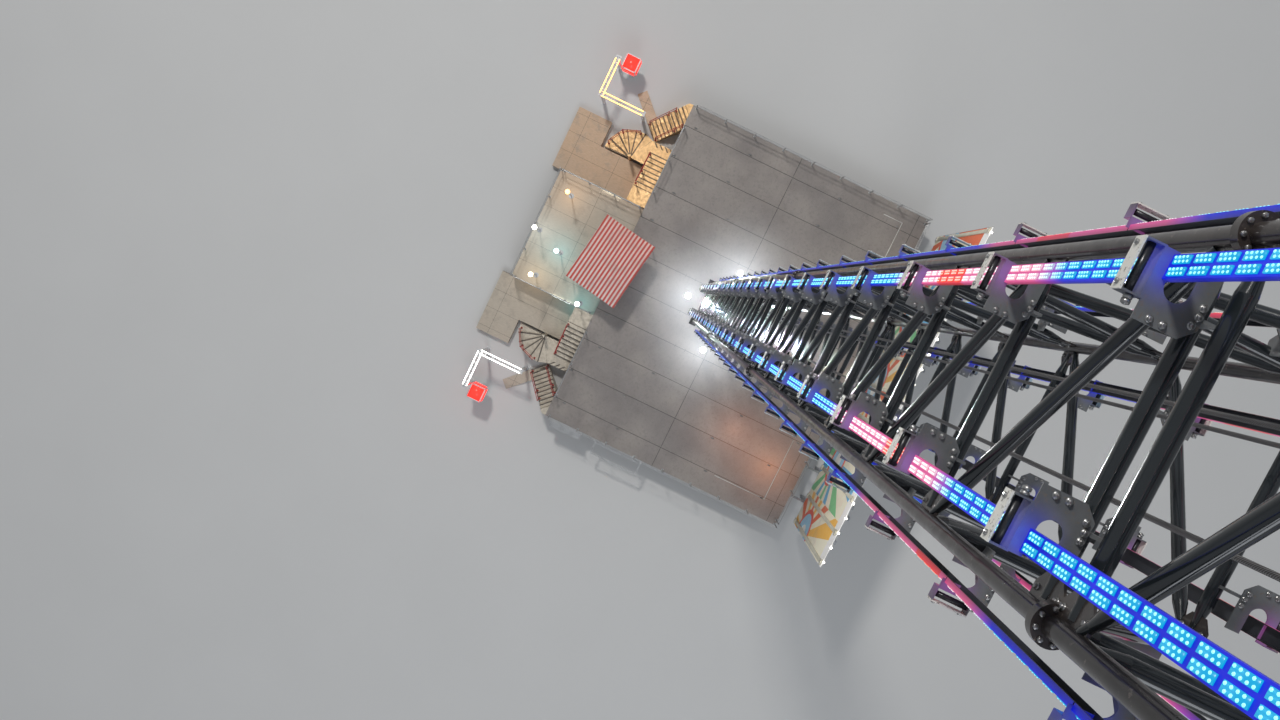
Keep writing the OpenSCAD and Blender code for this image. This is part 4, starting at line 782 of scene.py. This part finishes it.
lug = box_form(-0.045, 0.045, -0.016, 0.016, 0.0, 0.006)
eye = round_form(10, [(0.010, 0.0), (0.012, 0.006), (0.010, 0.018), (0.004, 0.022)])
screw = round_form(8, [(0.008, 0.0), (0.007, 0.0025)])
lugs, eyes, screws = [], [], []
for j, x in enumerate((0.49, 1.43, 2.37, 3.31, 4.25)):
    for m in (-1, 1):
        for y in (-2.9, -1.2, 1.6, 3.4):
            if abs(x) < 1.5 and abs(y) < 1.5:
                continue
            y2 = y + 0.23 * ((j * 7) % 3 - 1)
            lugs.append(move(m * (x + 0.05), y2, DECK_Z) @ spin(90))
            eyes.append(move(m * (x + 0.05), y2, DECK_Z + 0.005))
        y = -3.15
        while y < 4.05:
            for w in (-0.022, 0.036):
                screws.append(move(m * (x + w), y, DECK_Z))
            y += 0.3
# Flat rails near the rear corners
RAILS = [(-4.46, -2.40, 3.47, 3.49), (2.40, 4.31, 3.47, 3.49),
         (-4.46, -4.44, 2.90, 3.47), (4.29, 4.31, 1.90, 3.47)]
rail_parts = []
for x0, x1, y0, y1 in RAILS:
    rail_parts.append((*box_form(x0, x1, y0, y1, 0.0, 0.006), [move(0, 0, DECK_Z)], 0))
pale_paint = paint("rail_white_paint", (0.76, 0.75, 0.70), (0.66, 0.64, 0.60), (0.36, 0.33, 0.30))
mesh_piece("deck_rails", rail_parts, [pale_paint])
mesh_piece("deck_fittings", [(*lug, lugs, 0), (*eye, eyes, 0), (*screw, screws, 0)], [ZINC])

# Awning

def awning():
    """One stretched cloth over a low crown, with a pulled-in hem between its corner eyes."""
    nx, ny = 80, 64
    turn = math.radians(BOOTH_TURN)
    verts, faces, uvs = [], [], []
    for j in range(ny + 1):
        for i in range(nx + 1):
            u, v = i / nx, j / ny
            a, b = 2 * u - 1, 2 * v - 1
            x = a * AWNING_L / 2 * (1 - 0.010 * (1 - b * b))
            y = b * AWNING_D / 2 * (1 - 0.012 * (1 - a * a))
            crown = 0.050 * (1 - a * a) ** 0.6 * (1 - b * b) ** 0.6
            ripple = 0.0022 * math.sin(2 * math.pi * STRIPES * v) * (1 - a * a)
            z = AWNING_Z + crown + ripple
            y += 0.33
            verts.append((BOOTH_AT[0] + x * math.cos(turn) - y * math.sin(turn),
                          BOOTH_AT[1] + x * math.sin(turn) + y * math.cos(turn), z))
            uvs.append((u, v))
    for j in range(ny):
        for i in range(nx):
            q = j * (nx + 1) + i
            faces.append((q, q + 1, q + nx + 2, q + nx + 1))
    me = bpy.data.meshes.new("awning")
    me.from_pydata(verts, [], faces)
    layer = me.uv_layers.new(name="cloth")
    layer.data.foreach_set("uv", [c for f in faces for q in f for c in uvs[q]])
    me.polygons.foreach_set("use_smooth", [True] * len(faces))
    me.materials.append(MATS["awning_cloth"])
    o = bpy.data.objects.new("awning", me)
    scene.collection.objects.link(o)
    thick = o.modifiers.new("cloth", "SOLIDIFY")
    thick.thickness = 0.002
    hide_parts("booth_roof")
    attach(o, "root")


awning()


# Seat pads and restraints

def grid_faces(nx, ny, start=0, flip=False):
    out = []
    for j in range(ny):
        for i in range(nx):
            q = start + j * (nx + 1) + i
            f = (q, q + 1, q + nx + 2, q + nx + 1)
            out.append(f[::-1] if flip else f)
    return out


def cushion(width, length, thick, channels):
    """A crowned pad on the XY plane, sides pulled in between its corners, with sewn channels across."""
    nx, ny = 16, 28
    top, low = [], []
    for j in range(ny + 1):
        for i in range(nx + 1):
            a = math.sin(math.pi / 2 * (2 * i / nx - 1))
            b = math.sin(math.pi / 2 * (2 * j / ny - 1))
            x = a * width / 2 * (1 - 0.05 * (1 - b * b))
            y = b * length / 2 * (1 - 0.03 * (1 - a * a))
            full = ((1 - abs(a) ** 3.2) * (1 - abs(b) ** 4.5)) ** 0.42
            sewn = sum(math.exp(-((b * length / 2 - c) / 0.006) ** 2) for c in channels)
            top.append((x, y, thick * (0.30 + 0.70 * full) - 0.006 * sewn * full))
            low.append((x, y, thick * 0.30 * (1 - full)))
    n = len(top)
    faces = grid_faces(nx, ny) + grid_faces(nx, ny, n, True)
    rim = [i for i in range(nx + 1)] + [(j + 1) * (nx + 1) - 1 for j in range(1, ny + 1)]
    rim += [ny * (nx + 1) + i for i in range(nx - 1, -1, -1)] + [j * (nx + 1) for j in range(ny - 1, 0, -1)]
    faces += [(q, q + n, r + n, r) for q, r in zip(rim, rim[1:] + rim[:1])]
    return top + low, faces


def vinyl(name, base, shade):
    """Coated cloth with a fine leather-like grain and soft creases."""
    n = Nodes(name)
    grain = n.cells(420.0)
    body = n.mix(n.noise(14.0, 5.0), rgba(base), rgba(shade))
    worn = n.levels(n.noise(55.0, 6.0), 0.55, 0.75, 0.0, 0.4)
    body = n.mix(worn, body, rgba([c * 0.5 for c in shade]))
    crease = n.noise(24.0, 3.0, 0.5)
    return n.done(body, n.levels(grain, 0.0, 0.6, 0.38, 0.55),
                  n.bump(grain, 0.35, 0.0006, n.bump(crease, 0.20, 0.002)), Sheen_Weight=0.1)


PAD = vinyl("seat_vinyl", (0.045, 0.045, 0.052), (0.028, 0.028, 0.034))
CARRIAGE_Z = 28.65
RING = 1.005
SEAT_X = [(i - 2.5) * 0.262 for i in range(6)]
base_pad = cushion(0.196, 0.165, 0.030, (-0.03, 0.03))
back_pad = cushion(0.186, 0.500, 0.034, (-0.15, -0.05, 0.05, 0.15))
BACK_LEAN = math.degrees(math.atan2(0.022, 0.68))
for k, side in enumerate(SIDES):
    for i, cx in enumerate(SEAT_X):
        at = TURN[k] @ move(cx, -RING, CARRIAGE_Z)
        seat_at = at @ move(0, -0.172, 0.1145) @ spin(-4.2, "X")
        back_at = at @ move(0, -0.0605, 0.43) @ spin(90 - BACK_LEAN, "X")
        for name, form, place in (("seat_pad", base_pad, seat_at), ("back_pad", back_pad, back_at)):
            o = mesh_piece("%s_%s_%d" % (name, side, i + 1), [(*form, [place], 0)], [PAD],
                           smooth=True)


def bow():
    """One padded bow of a restraint, swept along its side outline, with a soft oblong section."""
    path = []
    for i in range(11):
        a = math.pi / 2 * (1 - i / 10)
        path.append((0.042 + 0.17 * math.cos(a), 0.78 + 0.17 * math.sin(a), a))
    for i in range(1, 19):
        path.append((0.212, 0.78 - 0.47 * i / 18, 0.0))
    ends = [(-0.021, 0.55), (-0.012, 0.86)]
    rows = []
    p0, p1 = path[0], path[-1]
    for d, s in ends:
        rows.append((p0[0] + d, p0[1], p0[2], s))
    rows += [(x, z, a, 1.0) for x, z, a in path]
    for d, s in reversed(ends):
        rows.append((p1[0], p1[1] + d, p1[2], s))
    sides = 16
    verts, faces = [], []
    for r, (out, up, a, s) in enumerate(rows):
        puff = 1.0 + 0.05 * math.sin(r * 0.9) ** 2
        sewn = 0.93 if r in (12, 20) else 1.0
        for j in range(sides):
            t = 2 * math.pi * j / sides
            w = math.copysign(abs(math.cos(t)) ** 0.62, math.cos(t)) * 0.0215 * s * sewn
            d = math.copysign(abs(math.sin(t)) ** 0.62, math.sin(t)) * 0.0245 * s * puff * sewn
            # The section stands across the path: d along the outward normal of the bow
            verts.append((w, -(out + d * math.cos(a)), up + d * math.sin(a)))
    for r in range(len(rows) - 1):
        for j in range(sides):
            k = (j + 1) % sides
            faces.append((r * sides + j, r * sides + k, (r + 1) * sides + k, (r + 1) * sides + j))
    for start, flip in ((0, False), ((len(rows) - 1) * sides, True)):
        for i in range(1, sides - 2, 2):
            f = (start, start + i, start + i + 1, start + i + 2)
            faces.append(f[::-1] if flip else f)
    return verts, faces


bow_form = bow()
pivot_bar = round_form(12, [(0.0, 0.0), (0.008, 0.0), (0.008, 0.192), (0.0, 0.192)])
lap_bar = round_form(16, [(0.0, 0.0), (0.016, 0.0), (0.018, 0.003),
                          (0.018, 0.085), (0.016, 0.088), (0.0, 0.088)])
grip = round_form(12, [(0.0, 0.0), (0.010, 0.0), (0.012, 0.004),
                       (0.012, 0.090), (0.010, 0.094), (0.0, 0.094)])
for k, side in enumerate(SIDES):
    bows, pivots, laps, grips = [], [], [], []
    for cx in SEAT_X:
        at = TURN[k] @ move(cx, -RING, CARRIAGE_Z)
        bows += [at @ move(x, 0, 0) for x in (-0.062, 0.062)]
        pivots.append(at @ move(-0.096, -0.042, 0.95) @ ALONG_X)
        laps.append(at @ move(-0.044, -0.212, 0.31) @ ALONG_X)
        grips += [at @ move(x, -0.241, 0.50) for x in (-0.062, 0.062)]
    pads = mesh_piece("restraint_pads_" + side, [(*bow_form, bows, 0)], [MATS["restraint_foam"]],
                      smooth=True)
    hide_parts("restraints")
    bars = [(*pivot_bar, pivots, 0), (*lap_bar, laps, 0), (*grip, grips, 1)]
    mesh_piece("restraint_bars_" + side, bars, [ZINC, MATS["roller_rubber"]], smooth=True)

# Booth fittings

booth = [move(*BOOTH_AT, PLATFORM_Z) @ spin(BOOTH_TURN)]


def booth_bar(*ends):
    return (*box_form(*ends), booth, 0)


# Frames of the front and rear windows, each with four uprights
parts = []
for s in (-1, 1):
    y0, y1 = sorted((s * 0.372, s * 0.418))
    parts += [booth_bar(-0.68, 0.68, y0, y1, z, z + 0.022) for z in (0.480, 0.898)]
    parts += [booth_bar(x, x + 0.022, y0, y1, 0.502, 0.898) for x in (-0.68, -0.227, 0.205, 0.658)]
# Frame of the door
y = 0.19
parts += [booth_bar(0.764, 0.806, a, a + 0.018, 0.03, 1.01) for a in (-y, y - 0.018)]
parts.append(booth_bar(0.764, 0.806, -y, y, 0.992, 1.01))
mesh_piece("booth_frames", parts, [MATS["rail_steel"]])

# Backdrop relief

pilaster = box_form(-0.05, 0.05, -0.022, 0.0, 0.0, 4.24)
cap = box_form(-0.075, 0.075, -0.040, 0.0, 4.24, 4.32)
foot = box_form(-0.070, 0.070, -0.034, 0.0, 0.0, 0.16)
# One on each seam of the panels, the outer two set in from the wall's ends
at = [move(x, 4.56, 0.92) for x in (-4.45, *(PANEL * i for i in range(-4, 5)), 4.45)]
cream = paint("pilaster_cream", (0.80, 0.76, 0.62), (0.70, 0.66, 0.52), (0.40, 0.34, 0.26), (0.3, 0.45))
mesh_piece("backdrop_pilasters", [(*pilaster, at, 0), (*cap, at, 0), (*foot, at, 0)], [cream])


# Camera, light and floor

def photo_camera():
    """The camera hangs under the top of the mast and looks straight down."""
    focal, width = 959.4, 1280.0
    nadir = (655.15, 289.05)
    yaw = Matrix.Rotation(-0.0133, 3, "Z")
    right = yaw @ Vector((-0.4472, 0.8944, 0.0))
    down = yaw @ Vector((0.8944, 0.4472, 0.0))
    fwd = Vector((0.0, 0.0, -1.0))
    n = Vector((nadir[0] - 640.0, nadir[1] - 360.0, focal)).normalized()
    tilt = Vector((0.0, 0.0, 1.0)).rotation_difference(n).to_matrix()
    rows = tilt @ Matrix((right, down, fwd))
    cam = bpy.data.objects.new("camera", bpy.data.cameras.new("camera"))
    cam.data.sensor_width = 36.0
    cam.data.lens = 36.0 * focal / width
    cam.data.clip_start = 0.05
    cam.data.clip_end = 250.0
    turn = Matrix((rows[0], -rows[1], -rows[2])).transposed()
    cam.matrix_world = Matrix.Translation((0.2348, -1.9701, 28.2015)) @ turn.to_4x4()
    scene.collection.objects.link(cam)
    scene.camera = cam


photo_camera()


def aimed(at, aim):
    return (Vector(aim) - Vector(at)).to_track_quat("-Z", "Y").to_euler()


def area_light(name, at, size, power, color, aim):
    data = bpy.data.lights.new(name, "AREA")
    data.shape = "DISK"
    data.size = size
    data.energy = power
    data.color = color
    o = bpy.data.objects.new(name, data)
    o.location = at
    o.rotation_euler = aimed(at, aim)
    scene.collection.objects.link(o)


world = bpy.data.worlds.new("studio")
scene.world = world
world.use_nodes = True
world.node_tree.nodes["Background"].inputs["Color"].default_value = (0.82, 0.86, 0.92, 1.0)
world.node_tree.nodes["Background"].inputs["Strength"].default_value = 0.36
area_light("key", (-22, -20, 44), 5, 9500, (1.0, 0.97, 0.93), (0, 0, 8))
area_light("fill", (26, 10, 36), 22, 3000, (0.90, 0.94, 1.0), (0, 0, 6))
# The four floodlights shine up the mast and draw bright lines along its tubes
for i, (x, y) in enumerate(FLOODS):
    data = bpy.data.lights.new("flood_%d" % (i + 1), "SPOT")
    data.energy = 12000
    data.color = (0.93, 0.98, 1.0)
    data.shadow_soft_size = 0.07
    data.spot_size = math.radians(50)
    data.spot_blend = 0.6
    o = bpy.data.objects.new("flood_%d" % (i + 1), data)
    o.location = (x, y, DECK_Z + 0.21)
    o.rotation_euler = aimed((x, y, DECK_Z), (0, 0, 26))
    scene.collection.objects.link(o)
scene.view_settings.view_transform = "Standard"

floor = bpy.data.objects.new("floor", bpy.data.meshes.new("floor"))
floor.data.from_pydata([(-90, -90, 0), (90, -90, 0), (90, 90, 0), (-90, 90, 0)], [], [(0, 1, 2, 3)])
floor.location.z = -0.001
scene.collection.objects.link(floor)
pale = Nodes("floor")
floor.data.materials.append(pale.done(
    pale.mix(pale.noise(0.3, 3.0), rgba((0.62, 0.62, 0.61)), rgba((0.66, 0.66, 0.65))), 0.8))
